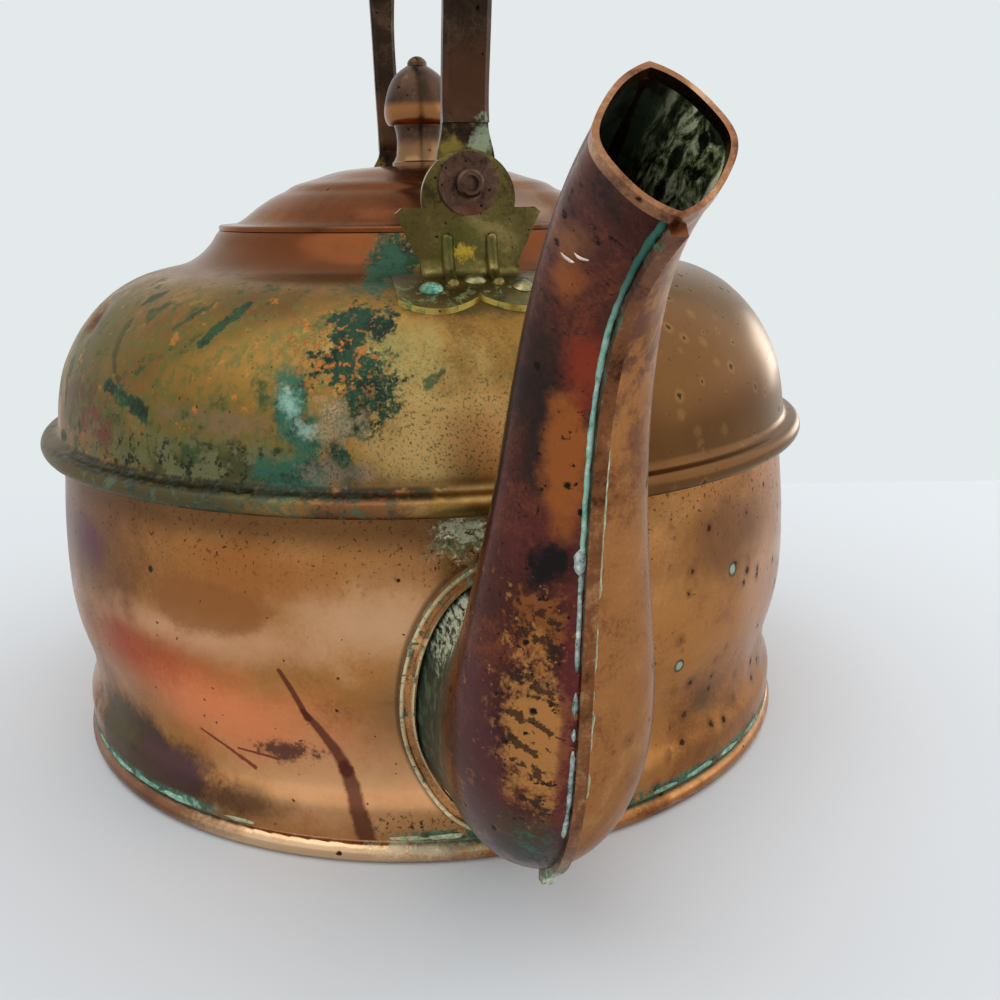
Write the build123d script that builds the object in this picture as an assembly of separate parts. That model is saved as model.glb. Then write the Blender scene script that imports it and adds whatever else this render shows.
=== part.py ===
from build123d import *
import math
import os

os.makedirs("parts", exist_ok=True)

# Copper tea kettle in millimetres. +Z is up, the spout points along +X and the origin is the
# centre of the ring it stands on. Left and right are as seen by someone facing the spout.

closing_angle = 112.0

# sheet metal
wall = 1.2
spout_wall = 0.75
lap_radius = 113.4
lap_top = 98.6

# foot ring and base
foot_bead_centre = 112.9
foot_bead_radius = 2.8
foot_flat = 0.25
base_recess = 1.8
base_flange_top = 13.0
body_foot_radius = 114.7
body_foot_edge = 6.6

# body, outer radius and height from foot to waist to belly to the lap under the dome
body_curve = [
    (body_foot_radius, 14.0),
    (113.2, 19.0),
    (112.3, 25.0),
    (112.7, 31.0),
    (114.4, 38.0),
    (115.9, 46.0),
    (116.4, 56.0),
    (116.1, 66.0),
    (115.4, 76.0),
    (114.4, 85.5),
    (lap_radius, 93.2),
]
body_lean = -0.14

# dome, outer radius and height from the brim to the foot of the collar, then the collar itself
dome_wall_radius = lap_radius + wall
dome_curve = [
    (dome_wall_radius, 100.6),
    (114.1, 105.0),
    (113.2, 110.0),
    (111.6, 116.0),
    (109.3, 121.0),
    (106.4, 126.0),
    (103.0, 130.4),
    (99.2, 134.3),
    (95.1, 137.6),
    (90.6, 140.2),
    (86.1, 142.1),
    (81.5, 143.3),
    (77.5, 144.1),
    (73.2, 145.4),
    (69.4, 147.6),
    (66.0, 150.7),
    (64.0, 153.6),
]
brim_radius = 120.0
brim_bead_radius = 2.75
brim_height = 95.4
dome_lap_low = 93.4
collar_radius = 63.2
seat_height = 155.0
neck_radius = 58.9
neck_lip_depth = 6.0

# lid, outer radius and rise above the seat from the knob out to the flange
lid_profile = [
    (8.5, 18.0),
    (12.0, 18.0),
    (18.8, 17.6),
    (27.3, 16.3),
    (35.0, 14.0),
    (40.6, 12.1),
    (42.3, 11.0),
    (44.4, 10.1),
    (48.0, 8.2),
    (52.1, 5.5),
    (55.4, 3.0),
    (57.8, 1.8),
]
lid_flange_radius = 63.0
lid_flange = 1.4
lid_play = 0.3
skirt_depth = 11.0

# knob on its stud
stud_radius = 2.0
stud_play = 0.05
stem_height = 12.4
stem_radius = 7.0
stem_foot_radius = 8.6
knob_cap_height = 17.1
knob_cap_radius = 10.6
finial_radius = 3.0
finial_height = 2.8
rove_radius = 6.0
rove_thickness = 1.2

# handle pivots: a lug plate outside, the eye of the handle inside, a rivet through both
pivot_rise = 22.9
lug_face = 79.0
lug_thickness = 2.0
foot_thickness = 1.2
boss_radius = 11.8
boss_drop = 3.7
wing_half_width = 18.3
wing_drop = 5.7
lug_waist_half_width = 12.5
lug_waist_rise = 3.9
bend_reach = 4.8
bend_rise = 5.0
rib_reach = 7.2
rib_rise = 9.6
foot_half_width = 20.0
foot_lobe_radius = 13.8
foot_lobe_offset = 9.5
foot_lobe_reach = 95.8
rib_offset = 5.6
rib_radius = 1.6
rib_sink = 0.3
pivot_radius = 2.5
pivot_play = 0.05
side_play = 0.3
washer_radius = 7.6
washer_thickness = 1.2
rivet_head_radius = 3.45
rivet_head_height = 2.6
rivet_dimple_radius = 1.9
rivet_tail_radius = 4.2
rivet_tail_height = 1.8
foot_rivet_radius = 2.9
foot_rivet_height = 1.5
foot_rivet_shank = 1.5
foot_rivet_tail_radius = 2.4
foot_rivet_tail_height = 1.1
foot_rivet_slack = 0.25
foot_rivet_places = [(87.8, -11.4), (84.6, 0.0), (87.8, 11.4)]

# handle: how far each point of a leg stands out from, and rises above, the start of its bar
eye_radius = 7.3
eye_thickness = 2.6
leg_thickness = 5.2
leg_rise = 14.3
tongue_lap = 3.0
front_leg_width = 11.5
rear_leg_width = 8.3
leg_curve = [
    (0.0, 7.0),
    (2.2, 16.0),
    (5.0, 27.0),
    (7.4, 41.0),
    (6.6, 57.0),
    (0.4, 73.0),
    (-14.5, 87.5),
    (-38.0, 96.6),
]
handle_rise = 99.5
grip_rise = 41.0
grip_width = 17.0
grip_thickness = 7.5
leg_bevel = 1.3

# spout, one row for each cross-section: x and z of its front edge, x and z of its back edge,
# half its width, and how far it is drawn to a point at the seams (0 is a plain oval)
spout_sections = [
    (106.0, 11.0, 106.0, 78.0, 22.9, 0.00),
    (117.0, 12.2, 117.0, 77.4, 21.8, 0.00),
    (132.5, 15.0, 125.5, 78.0, 20.6, 0.02),
    (150.5, 21.0, 132.5, 80.2, 21.3, 0.04),
    (166.0, 33.6, 138.5, 83.6, 21.6, 0.03),
    (175.2, 51.2, 143.5, 89.5, 20.4, 0.06),
    (179.0, 72.0, 148.2, 98.0, 18.2, 0.10),
    (181.6, 94.0, 153.2, 109.0, 15.6, 0.18),
    (184.6, 115.0, 159.8, 123.5, 13.4, 0.22),
    (189.0, 132.0, 167.4, 139.5, 12.0, 0.26),
    (196.8, 145.2, 178.6, 157.8, 10.8, 0.30),
    (206.4, 153.4, 192.0, 171.2, 10.2, 0.34),
    (217.2, 159.4, 203.9, 178.9, 9.7, 0.38),
]
seam_width = 2.4
seam_stand = 1.5
seam_depth = 1.1
back_seam_width = 1.8
back_seam_stand = 0.8
seam_start = 3
tab_reach = 3.0
rim_length = 2.0
rim_proud = 0.12
rim_inside = 0.12
collar_half_width = 26.5
collar_half_height = 37.2
collar_centre = 44.6
collar_band = 3.4
collar_height = 2.2
collar_lip = 1.0
collar_groove = 0.6
spout_hole_half_width = 21.0
spout_hole_half_height = 31.4


def save(shape, name):
    export_step(shape, f"parts/{name}.step")


def turned(*faces):
    """Turn faces drawn in the XZ plane once round the Z axis and join the results.

    The line where each turn closes lies at closing_angle, clear of the lugs and the spout.
    """
    solid = revolve(faces[0], Axis.Z, 360)
    for face in faces[1:]:
        solid += revolve(face, Axis.Z, 360)
    return Rot(0, 0, closing_angle) * solid


def xz(points):
    return [(x, 0.0, z) for x, z in points]


def poly(points):
    """A straight-sided face in the XZ plane."""
    return make_face(Polyline(*xz(points), close=True))


def disc(x, z, radius):
    return Plane(origin=(x, 0, z), x_dir=(1, 0, 0), z_dir=(0, -1, 0)) * Circle(radius)


def shifted(points, distance):
    """Points moved square to the curve they lie on, to the left of its direction."""
    moved = []
    last = len(points) - 1
    for i, (x, z) in enumerate(points):
        x0, z0 = points[max(i - 1, 0)]
        x1, z1 = points[min(i + 1, last)]
        length = math.hypot(x1 - x0, z1 - z0)
        moved.append((x - distance * (z1 - z0) / length, z + distance * (x1 - x0) / length))
    return moved


def band(points, distance):
    """The face between a smooth curve and the same curve shifted to its left."""
    other = shifted(points, distance)
    return make_face(
        [
            Spline(*xz(points)),
            Line((points[-1][0], 0, points[-1][1]), (other[-1][0], 0, other[-1][1])),
            Spline(*xz(other[::-1])),
            Line((other[0][0], 0, other[0][1]), (points[0][0], 0, points[0][1])),
        ]
    )


def under(points, inner, floor):
    """The face between a smooth curve, the radius inner and the height floor."""
    x0, z0 = points[0]
    x1, z1 = points[-1]
    return make_face(
        [
            Spline(*xz(points)),
            Polyline((x1, 0, z1), (inner, 0, z1), (inner, 0, floor), (x0, 0, floor), (x0, 0, z0)),
        ]
    )


def cap_arc(radius, base, top):
    """The outline of a spherical cap, from its edge up to the Z axis."""
    rise = top - base
    ball = (radius**2 + rise**2) / (2 * rise)
    angle = math.asin(radius / ball) / 2
    if rise > radius:
        angle = (math.pi - math.asin(radius / ball)) / 2
    middle = (ball * math.sin(angle), 0, top - ball + ball * math.cos(angle))
    return ThreePointArc((radius, 0, base), middle, (0, 0, top))


def dome_height(radius):
    """Height of the dome's outside at a radius, read straight between its points."""
    for (r1, z1), (r0, z0) in zip(dome_curve, dome_curve[1:]):
        if r0 <= radius <= r1:
            return z0 + (z1 - z0) * (radius - r0) / (r1 - r0)


pivot_height = dome_height(lug_face) + pivot_rise


def rod(x0, x1, radius, y=0.0, z=pivot_height):
    """A cylinder along X."""
    return Plane(origin=(x0, y, z), z_dir=(1, 0, 0)) * extrude(Circle(radius), x1 - x0)


def half_turn(shape):
    return Rot(0, 0, 180) * shape


# the filled shape of the dome, for trimming whatever seats on it
dome_envelope = turned(under(dome_curve, 0.0, 90.0))

# base: a recessed disc, a flange up inside the body and the rolled foot ring
foot_bead = disc(foot_bead_centre, foot_bead_radius - foot_flat, foot_bead_radius)
flange_radius = body_foot_radius - wall
base_disc = poly(
    [
        (0.0, base_recess),
        (foot_bead_centre, base_recess),
        (foot_bead_centre, base_recess + wall),
        (0.0, base_recess + wall),
    ]
)
base_flange = poly(
    [
        (flange_radius - wall, base_recess),
        (flange_radius, base_recess),
        (flange_radius, base_flange_top),
        (flange_radius - wall, base_flange_top),
    ]
)
ground = Pos(0, 0, -10) * extrude(Circle(150), 10)
base_pan = turned(base_disc, base_flange, foot_bead) - ground
save(base_pan, "base_pan")

# body: one raised sheet, its top edge lapped up inside the dome
body_inner = shifted(body_curve, wall)
body_face = make_face(
    [
        Line((body_foot_radius, 0, body_foot_edge), (body_foot_radius, 0, body_curve[0][1])),
        Spline(*xz(body_curve), tangents=[(0, 0, 1), (body_lean, 0, 1)]),
        Line((lap_radius, 0, body_curve[-1][1]), (lap_radius, 0, lap_top)),
        Line((lap_radius, 0, lap_top), (lap_radius - wall, 0, lap_top)),
        Line((lap_radius - wall, 0, lap_top), (lap_radius - wall, 0, body_curve[-1][1])),
        Spline(
            *xz(
                [(lap_radius - wall, body_curve[-1][1])]
                + body_inner[-2:0:-1]
                + [(flange_radius, body_curve[0][1])]
            ),
            tangents=[(-body_lean, 0, -1), (0, 0, -1)],
        ),
        Line((flange_radius, 0, body_curve[0][1]), (flange_radius, 0, body_foot_edge)),
        Line((flange_radius, 0, body_foot_edge), (body_foot_radius, 0, body_foot_edge)),
    ]
)
body_full = turned(body_face)
body_solid = turned(
    make_face(
        [
            Polyline((0, 0, 0), (body_foot_radius, 0, 0), (body_foot_radius, 0, body_curve[0][1])),
            Spline(*xz(body_curve), tangents=[(0, 0, 1), (body_lean, 0, 1)]),
            Polyline((lap_radius, 0, body_curve[-1][1]), (0, 0, body_curve[-1][1]), (0, 0, 0)),
        ]
    )
)
spout_hole = Plane(origin=(90, 0, collar_centre), x_dir=(0, 1, 0), z_dir=(1, 0, 0)) * extrude(
    Ellipse(spout_hole_half_width, spout_hole_half_height), 40
)
body_shell = body_full - spout_hole
save(body_shell, "body_shell")

# dome: brim rolled to a bead, shoulder, collar and the lip that the lid drops into
brim_centre = brim_radius - brim_bead_radius
bead_start = math.radians(205)
bead_low = (
    brim_centre + brim_bead_radius * math.cos(bead_start),
    0,
    brim_height + brim_bead_radius * math.sin(bead_start),
)
bead_top = (brim_centre, 0, brim_height + brim_bead_radius)
dome_start = (dome_curve[0][0], 0, dome_curve[0][1])
collar_edge = (dome_curve[-1][0], 0, dome_curve[-1][1])
dome_inside = shifted(dome_curve, wall)[::-1]
inside_end = (dome_inside[-1][0], 0, dome_inside[-1][1])
dome_plain = turned(
    make_face(
        [
            Polyline((lap_radius, 0, dome_lap_low), (lap_radius + 0.9, 0, dome_lap_low), bead_low),
            ThreePointArc(bead_low, (brim_radius, 0, brim_height), bead_top),
            ThreePointArc(bead_top, (dome_wall_radius + 0.75, 0, brim_height + 3.5), dome_start),
            Spline(*xz(dome_curve)),
            Polyline(
                collar_edge,
                (collar_radius, 0, seat_height - 0.5),
                (collar_radius - 0.5, 0, seat_height),
                (neck_radius, 0, seat_height),
                (neck_radius, 0, seat_height - neck_lip_depth),
                (neck_radius + wall, 0, seat_height - neck_lip_depth),
                (neck_radius + wall, 0, seat_height - wall),
                (dome_inside[0][0], 0, dome_inside[0][1]),
            ),
            Spline(*xz(dome_inside)),
            Polyline(inside_end, (lap_radius, 0, lap_top + 0.6), (lap_radius, 0, dome_lap_low)),
        ]
    )
)


def tilted(x, y, shape):
    """Stand a shape drawn along +Z on the dome at x, y, square to the surface there."""
    radius = math.hypot(x, y)
    slope = math.degrees(math.atan2(dome_height(radius - 1) - dome_height(radius + 1), 2))
    turn = math.degrees(math.atan2(y, x))
    return Pos(x, y, dome_height(radius)) * Rot(0, 0, turn) * Rot(0, slope, 0) * shape


# lug: flat plate with a round boss and two shoulders, bent out into a two-lobed foot
lug_seat = dome_height(lug_face + bend_reach) + foot_thickness
lug_root = lug_seat - 4.6
foot_skin = turned(under(shifted(dome_curve[7:15], -foot_thickness), collar_radius, lug_root - 20.0))
lobe_centre = foot_lobe_reach - foot_lobe_radius
foot_outline = (
    Pos(lobe_centre, -foot_lobe_offset) * Circle(foot_lobe_radius)
    + Pos(lobe_centre, foot_lobe_offset) * Circle(foot_lobe_radius)
) & Pos((lug_face - lug_thickness + 100) / 2, 0) * RectangleRounded(
    100 - lug_face + lug_thickness, 2 * foot_half_width, 3.5
)
foot = foot_skin & Pos(0, 0, lug_root - 20.0) * extrude(foot_outline, 40)
wing_top = pivot_height - wing_drop
lug_waist_height = dome_height(lug_face) + lug_waist_rise
plate_outline = (
    Pos(0, pivot_height - boss_drop) * Circle(boss_radius)
    + make_face(
        Polyline(
            (-wing_half_width, wing_top - 1.2),
            (-wing_half_width + 1.4, wing_top),
            (wing_half_width - 1.4, wing_top),
            (wing_half_width, wing_top - 1.2),
            (lug_waist_half_width, lug_waist_height),
            (lug_waist_half_width, lug_root),
            (-lug_waist_half_width, lug_root),
            (-lug_waist_half_width, lug_waist_height),
            close=True,
        )
    )
)
yz_at_lug = Plane(origin=(lug_face - lug_thickness, 0, 0), x_dir=(0, 1, 0), z_dir=(1, 0, 0))
plate = yz_at_lug * extrude(plate_outline, lug_thickness)
bend_end = (lug_face + bend_reach, 0, lug_seat)
bend_top = (lug_face, 0, lug_seat + bend_rise)
bend_middle = (lug_face + 0.27 * bend_reach, 0, lug_seat + 0.34 * bend_rise)
plate_middle = lug_face - lug_thickness / 2
bend = extrude(
    make_face(
        [
            Polyline(
                bend_end,
                (lug_face + bend_reach, 0, lug_root),
                (plate_middle, 0, lug_root),
                (plate_middle, 0, lug_seat + bend_rise),
                bend_top,
            ),
            ThreePointArc(bend_top, bend_middle, bend_end),
        ]
    ),
    lug_waist_half_width,
    both=True,
)
rib_path = Spline(
    (lug_face - rib_sink, 0, lug_seat + rib_rise),
    (lug_face - rib_sink, 0, lug_seat + 0.75 * rib_rise),
    (lug_face + 0.24 * rib_reach, 0, lug_seat + 0.2 * rib_rise),
    (lug_face + rib_reach, 0, dome_height(lug_face + rib_reach) + foot_thickness - rib_sink),
    tangents=[(0, 0, -1), (1, 0, -0.3)],
)
rib_bead = sweep(Plane(origin=rib_path @ 0, z_dir=(0, 0, -1)) * Circle(rib_radius), rib_path)
rib = rib_bead + Pos(*(rib_path @ 0)) * Sphere(rib_radius) + Pos(*(rib_path @ 1)) * Sphere(rib_radius)
washer_room = rod(lug_face, lug_face + 2 * rib_reach, washer_radius + side_play)
lug_plain = (
    plate + foot + (bend + Pos(0, rib_offset, 0) * rib + Pos(0, -rib_offset, 0) * rib - washer_room)
) - dome_envelope
foot_rivet_hole = Pos(0, 0, -6) * extrude(Circle(foot_rivet_shank), 12)
foot_holes = [tilted(x, y, foot_rivet_hole) for x, y in foot_rivet_places]
front_lug = lug_plain - rod(70, 90, pivot_radius) - foot_holes
save(front_lug, "front_lug")
save(half_turn(front_lug), "rear_lug")

shoulder_dome = dome_plain
for hole in foot_holes:
    shoulder_dome -= hole
    shoulder_dome -= half_turn(hole)
save(shoulder_dome, "shoulder_dome")

# foot rivets: domed head on the foot, shank through the dome, hammered tail inside
head_top = foot_thickness + foot_rivet_height
head_edge = foot_thickness + 0.2
tail_face = -wall - foot_rivet_slack
rivet_face = make_face(
    [
        Polyline(
            (0, 0, head_top),
            (0, 0, tail_face - foot_rivet_tail_height),
            (foot_rivet_tail_radius, 0, tail_face - foot_rivet_tail_height),
            (foot_rivet_tail_radius, 0, tail_face),
            (foot_rivet_shank, 0, tail_face),
            (foot_rivet_shank, 0, foot_thickness - 0.6),
            (foot_rivet_radius, 0, foot_thickness - 0.6),
            (foot_rivet_radius, 0, head_edge),
        ),
        cap_arc(foot_rivet_radius, head_edge, head_top),
    ]
)
rivet = turned(rivet_face)
foot_rivets = []
for x, y in foot_rivet_places:
    seated = tilted(x, y, rivet) - front_lug
    foot_rivets += [seated, half_turn(seated)]
save(Compound(foot_rivets), "lug_foot_rivets")

# pivots: hollow-headed rivet and washer outside, second washer and hammered tail inside
eye_outer = lug_face - lug_thickness - side_play
eye_inner = eye_outer - eye_thickness
back_washer = eye_inner - side_play
outer_washer = rod(lug_face, lug_face + washer_thickness, washer_radius) - rod(
    lug_face - 1, lug_face + 3, pivot_radius
)
inner_washer = rod(back_washer - washer_thickness, back_washer, washer_radius) - rod(
    back_washer - 3, back_washer + 1, pivot_radius
)
save(
    Compound([outer_washer, inner_washer, half_turn(outer_washer), half_turn(inner_washer)]),
    "pivot_washers",
)
head_start = lug_face + washer_thickness
tail_end = back_washer - washer_thickness
head = chamfer(
    rod(head_start, head_start + rivet_head_height, rivet_head_radius).edges().sort_by(Axis.X)[-1], 0.7
)
tail = chamfer(rod(tail_end - rivet_tail_height, tail_end, rivet_tail_radius).edges().sort_by(Axis.X)[0], 0.8)
dimple = rod(head_start + 0.6, head_start + 5, rivet_dimple_radius)
pivot_rivet = rod(tail_end - 0.5, head_start + 0.5, pivot_radius) + head + tail - dimple
save(Compound([pivot_rivet, half_turn(pivot_rivet)]), "pivot_rivets")

# handle: two flat eyes and a bevelled bar that widens to a grip at the top
leg_x = eye_inner + leg_thickness / 2
leg_start = pivot_height + leg_rise
handle_top = leg_start + handle_rise
grip_start = leg_start + grip_rise


def eye_plate(width):
    """Eye and tongue of one leg, at the front, narrowing to the width of the bar above."""
    tongue = make_face(
        [
            Polyline(
                (eye_radius, pivot_height), (-eye_radius, pivot_height), (-eye_radius, pivot_height + 5)
            ),
            Spline(
                (-eye_radius, pivot_height + 5),
                (-(eye_radius * 0.35 + width * 0.325), (pivot_height + leg_start) / 2 + 3.4),
                (-width / 2, leg_start),
                tangents=[(0, 1), (0, 1)],
            ),
            Polyline(
                (-width / 2, leg_start),
                (-width / 2, leg_start + tongue_lap),
                (width / 2, leg_start + tongue_lap),
                (width / 2, leg_start),
            ),
            Spline(
                (width / 2, leg_start),
                (eye_radius * 0.35 + width * 0.325, (pivot_height + leg_start) / 2 + 3.4),
                (eye_radius, pivot_height + 5),
                tangents=[(0, -1), (0, -1)],
            ),
            Line((eye_radius, pivot_height + 5), (eye_radius, pivot_height)),
        ]
    )
    outline = Pos(0, pivot_height) * Circle(eye_radius) + tongue
    yz = Plane(origin=(eye_inner, 0, 0), x_dir=(0, 1, 0), z_dir=(1, 0, 0))
    return yz * extrude(outline, eye_thickness) - rod(60, 90, pivot_radius + pivot_play)


def bar_section(x, z, tilt, width, thickness):
    """Eight-sided section of the handle bar, square to its run in the XZ plane."""
    w = width / 2
    t = thickness / 2
    c = leg_bevel
    corners = [(-w + c, -t), (w - c, -t), (w, -t + c), (w, t - c), (w - c, t), (-w + c, t), (-w, t - c), (-w, -t + c)]
    run = (math.sin(tilt), 0, math.cos(tilt))
    return Plane(origin=(x, 0, z), x_dir=(0, 1, 0), z_dir=run) * make_face(Polyline(*corners, close=True))


front_path = [(leg_x, leg_start)] + [(leg_x + x, leg_start + z) for x, z in leg_curve]
rear_path = [(-x, z) for x, z in front_path[::-1]]
path = front_path + [(0.0, handle_top)] + rear_path
sections = []
for i, (x, z) in enumerate(path):
    x0, z0 = path[max(i - 1, 0)]
    x1, z1 = path[min(i + 1, len(path) - 1)]
    tilt = math.atan2(x1 - x0, z1 - z0)
    if i == 0:
        tilt = 0.0
    if i == len(path) - 1:
        tilt = math.pi
    leg_width = front_leg_width if x > 0 else rear_leg_width
    rise = max(0.0, (z - grip_start) / (handle_top - grip_start)) ** 1.5
    width = leg_width + (grip_width - leg_width) * rise
    thickness = leg_thickness + (grip_thickness - leg_thickness) * rise
    sections.append(bar_section(x, z, tilt, width, thickness))
bar = loft(sections)
bail_handle = bar + eye_plate(front_leg_width) + half_turn(eye_plate(rear_leg_width))
save(bail_handle, "bail_handle")

# lid: pressed shell with a flange, and a band below it that drops inside the neck
lid_curve = [(radius, seat_height + rise) for radius, rise in lid_profile]
lid_top = lid_curve[0][1]
lid_inside = shifted(lid_curve, -wall)[::-1]
crown_edge = lid_curve[0][0]
lid_outline = make_face(
    [
        Polyline(
            (crown_edge, 0, lid_top - wall), (0, 0, lid_top - wall), (0, 0, lid_top), (crown_edge, 0, lid_top)
        ),
        Spline(*xz(lid_curve)),
        Polyline(
            (lid_curve[-1][0], 0, lid_curve[-1][1]),
            ((lid_curve[-1][0] + lid_flange_radius) / 2, 0, seat_height + lid_flange + 0.1),
            (lid_flange_radius - 0.5, 0, seat_height + lid_flange),
            (lid_flange_radius, 0, seat_height + lid_flange - 0.4),
            (lid_flange_radius, 0, seat_height),
            (lid_curve[-1][0] - 0.4, 0, seat_height),
            (lid_inside[0][0], 0, lid_inside[0][1]),
        ),
        Spline(*xz(lid_inside)),
    ]
)
stud_hole = extrude(Circle(stud_radius + stud_play), 200)
lid_shell = turned(lid_outline) - stud_hole
save(lid_shell, "lid_shell")
skirt_radius = neck_radius - lid_play
lid_skirt = turned(
    poly(
        [
            (skirt_radius - wall, seat_height),
            (skirt_radius, seat_height),
            (skirt_radius, seat_height - skirt_depth + 1.0),
            (skirt_radius - 0.6, seat_height - skirt_depth),
            (skirt_radius - wall, seat_height - skirt_depth),
        ]
    )
)
save(lid_skirt, "lid_skirt")

# knob: turned stem, mushroom cap and button on one stud, hammered over a rove below the lid
stud_bore = stud_radius + stud_play
knob_cap_base = lid_top + stem_height
stem_curve = [
    (stem_foot_radius - 0.5, lid_top + 1.6),
    (stem_radius + 0.4, lid_top + 3.2),
    (stem_radius, lid_top + 6.0),
    (stem_radius + 0.1, knob_cap_base - 2.8),
    (stem_radius + 0.8, knob_cap_base),
]
stem_foot = (stem_foot_radius, 0, lid_top + 1.2)
stem_edge = (stem_foot_radius - 0.5, 0, lid_top + 1.6)
knob_stem = turned(
    make_face(
        [
            Polyline((stud_bore, 0, lid_top), (stem_foot_radius, 0, lid_top), stem_foot, stem_edge),
            Spline(*xz(stem_curve)),
            Polyline(
                (stem_radius + 0.8, 0, knob_cap_base), (stud_bore, 0, knob_cap_base), (stud_bore, 0, lid_top)
            ),
        ]
    )
)
save(knob_stem, "knob_stem")
knob_cap_top = knob_cap_base + knob_cap_height
cap_curve = [
    (knob_cap_radius - 1.4, knob_cap_base - 0.3),
    (knob_cap_radius - 0.5, knob_cap_base + 0.05 * knob_cap_height),
    (knob_cap_radius, knob_cap_base + 0.18 * knob_cap_height),
    (knob_cap_radius * 0.96, knob_cap_base + 0.4 * knob_cap_height),
    (knob_cap_radius * 0.85, knob_cap_base + 0.63 * knob_cap_height),
    (knob_cap_radius * 0.65, knob_cap_base + 0.84 * knob_cap_height),
    (knob_cap_radius * 0.4, knob_cap_base + 0.96 * knob_cap_height),
    (finial_radius + 0.1, knob_cap_top),
]
knob_cap = turned(
    make_face(
        [
            Polyline((stud_bore, 0, knob_cap_top), (stud_bore, 0, knob_cap_base)),
            Polyline(
                (stud_bore, 0, knob_cap_base),
                (stem_radius + 1.3, 0, knob_cap_base),
                (cap_curve[0][0], 0, cap_curve[0][1]),
            ),
            Spline(*xz(cap_curve)),
            Line((cap_curve[-1][0], 0, knob_cap_top), (stud_bore, 0, knob_cap_top)),
        ]
    )
)
save(knob_cap, "knob_cap")
stud_top = knob_cap_top + 1.2
finial_edge = knob_cap_top + 0.9
finial_top = knob_cap_top + finial_height
knob_finial = turned(
    make_face(
        [
            Polyline(
                (0, 0, finial_top),
                (0, 0, stud_top),
                (stud_radius, 0, stud_top),
                (stud_radius, 0, knob_cap_top),
                (finial_radius, 0, knob_cap_top),
                (finial_radius, 0, finial_edge),
            ),
            cap_arc(finial_radius, finial_edge, finial_top),
        ]
    )
)
save(knob_finial, "knob_finial")
rove_top = lid_top - wall
knob_rove = turned(
    poly(
        [
            (stud_radius, rove_top - rove_thickness),
            (rove_radius, rove_top - rove_thickness),
            (rove_radius, rove_top),
            (stud_radius, rove_top),
        ]
    )
)
save(knob_rove, "knob_rove")
tail_top = rove_top - rove_thickness
knob_stud = turned(
    poly(
        [
            (0, stud_top),
            (0, tail_top - 1.6),
            (2.6, tail_top - 1.6),
            (3.4, tail_top - 0.8),
            (3.4, tail_top),
            (stud_radius, tail_top),
            (stud_radius, stud_top),
        ]
    )
)
save(knob_stud, "knob_stud")


# spout: two pressed halves that meet at a standing front seam and a low back seam
def outline_points(half_depth, half_width, pointed):
    """One side of a section, from its front edge round to its back edge."""
    points = []
    for step in range(7):
        angle = math.radians(30 * step)
        straight = step / 3 if step <= 3 else 2 - step / 3
        across = (1 - pointed) * math.sin(angle) + pointed * straight
        along = (1 - pointed) * math.cos(angle) + pointed * (1 - step / 3)
        points.append((half_depth * along, -half_width * across))
    points[0] = (half_depth, 0.0)
    points[-1] = (-half_depth, 0.0)
    return points


def section_plane(row):
    fx, fz, bx, bz = row[:4]
    depth = math.hypot(fx - bx, fz - bz)
    along = ((fx - bx) / depth, 0, (fz - bz) / depth)
    return Plane(origin=((fx + bx) / 2, 0, (fz + bz) / 2), x_dir=along, z_dir=(-along[2], 0, along[0])), depth / 2


def half_section(row, grow):
    """Half of a spout section, filled, on the left side."""
    plane, half_depth = section_plane(row)
    pts = outline_points(half_depth + grow, row[4] + grow, row[5])
    pts = [(u, -v) if plane.y_dir.Y < 0 else (u, v) for u, v in pts]
    return plane * make_face([Spline(*pts), Line(pts[-1], pts[0])])


def spout_body(grow):
    return loft([half_section(row, grow) for row in spout_sections])


def seam_band(front, first, out, inward, width):
    """A strip along the front or back edge of the spout, standing out and reaching in."""
    outer = []
    inner = []
    for row in spout_sections[first:]:
        fx, fz, bx, bz = row[:4]
        depth = math.hypot(fx - bx, fz - bz)
        ux, uz = (fx - bx) / depth, (fz - bz) / depth
        sign = 1 if front else -1
        x, z = (fx, fz) if front else (bx, bz)
        outer.append((x + sign * ux * out, z + sign * uz * out))
        inner.append((x - sign * ux * inward, z - sign * uz * inward))
    face = make_face(
        [
            Spline(*xz(outer)),
            Line((outer[-1][0], 0, outer[-1][1]), (inner[-1][0], 0, inner[-1][1])),
            Spline(*xz(inner[::-1])),
            Line((inner[0][0], 0, inner[0][1]), (outer[0][0], 0, outer[0][1])),
        ]
    )
    return extrude(face, width / 2, both=True)


spout_outer = spout_body(0.0)
left_half = (spout_outer - body_solid) - spout_body(-spout_wall)
front_seam = seam_band(True, seam_start, seam_stand, seam_depth, seam_width)
tab_x, tab_z = spout_sections[seam_start][:2]
front_seam += extrude(
    poly(
        [
            (tab_x - 0.6, tab_z + 0.9),
            (tab_x - 0.2, tab_z - tab_reach),
            (tab_x + 3.0, tab_z - tab_reach + 0.6),
            (tab_x + 5.4, tab_z + 3.0),
            (tab_x + 4.0, tab_z + 4.4),
        ]
    ),
    seam_width / 2,
    both=True,
)
back_seam = seam_band(False, 2, back_seam_stand, seam_depth, back_seam_width)
left_half = left_half - front_seam - back_seam
save(left_half, "spout_left_half")
save(mirror(left_half, Plane.XZ), "spout_right_half")
save(front_seam, "spout_front_seam")
save(back_seam, "spout_back_seam")

# rolled rim on the mouth, butted on the ends of the two halves and both seams
mouth_plane, mouth_depth = section_plane(spout_sections[-1])
mouth_width, mouth_point = spout_sections[-1][4:]


def mouth_outline(grow):
    side = outline_points(mouth_depth + grow, mouth_width + grow, mouth_point)
    other = [(u, -v) for u, v in side[::-1]]
    return make_face([Spline(*side), Spline(*other)])


rim = mouth_plane * extrude(mouth_outline(rim_proud) - mouth_outline(-spout_wall - rim_inside), rim_length)
save(rim, "spout_rim")

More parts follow.
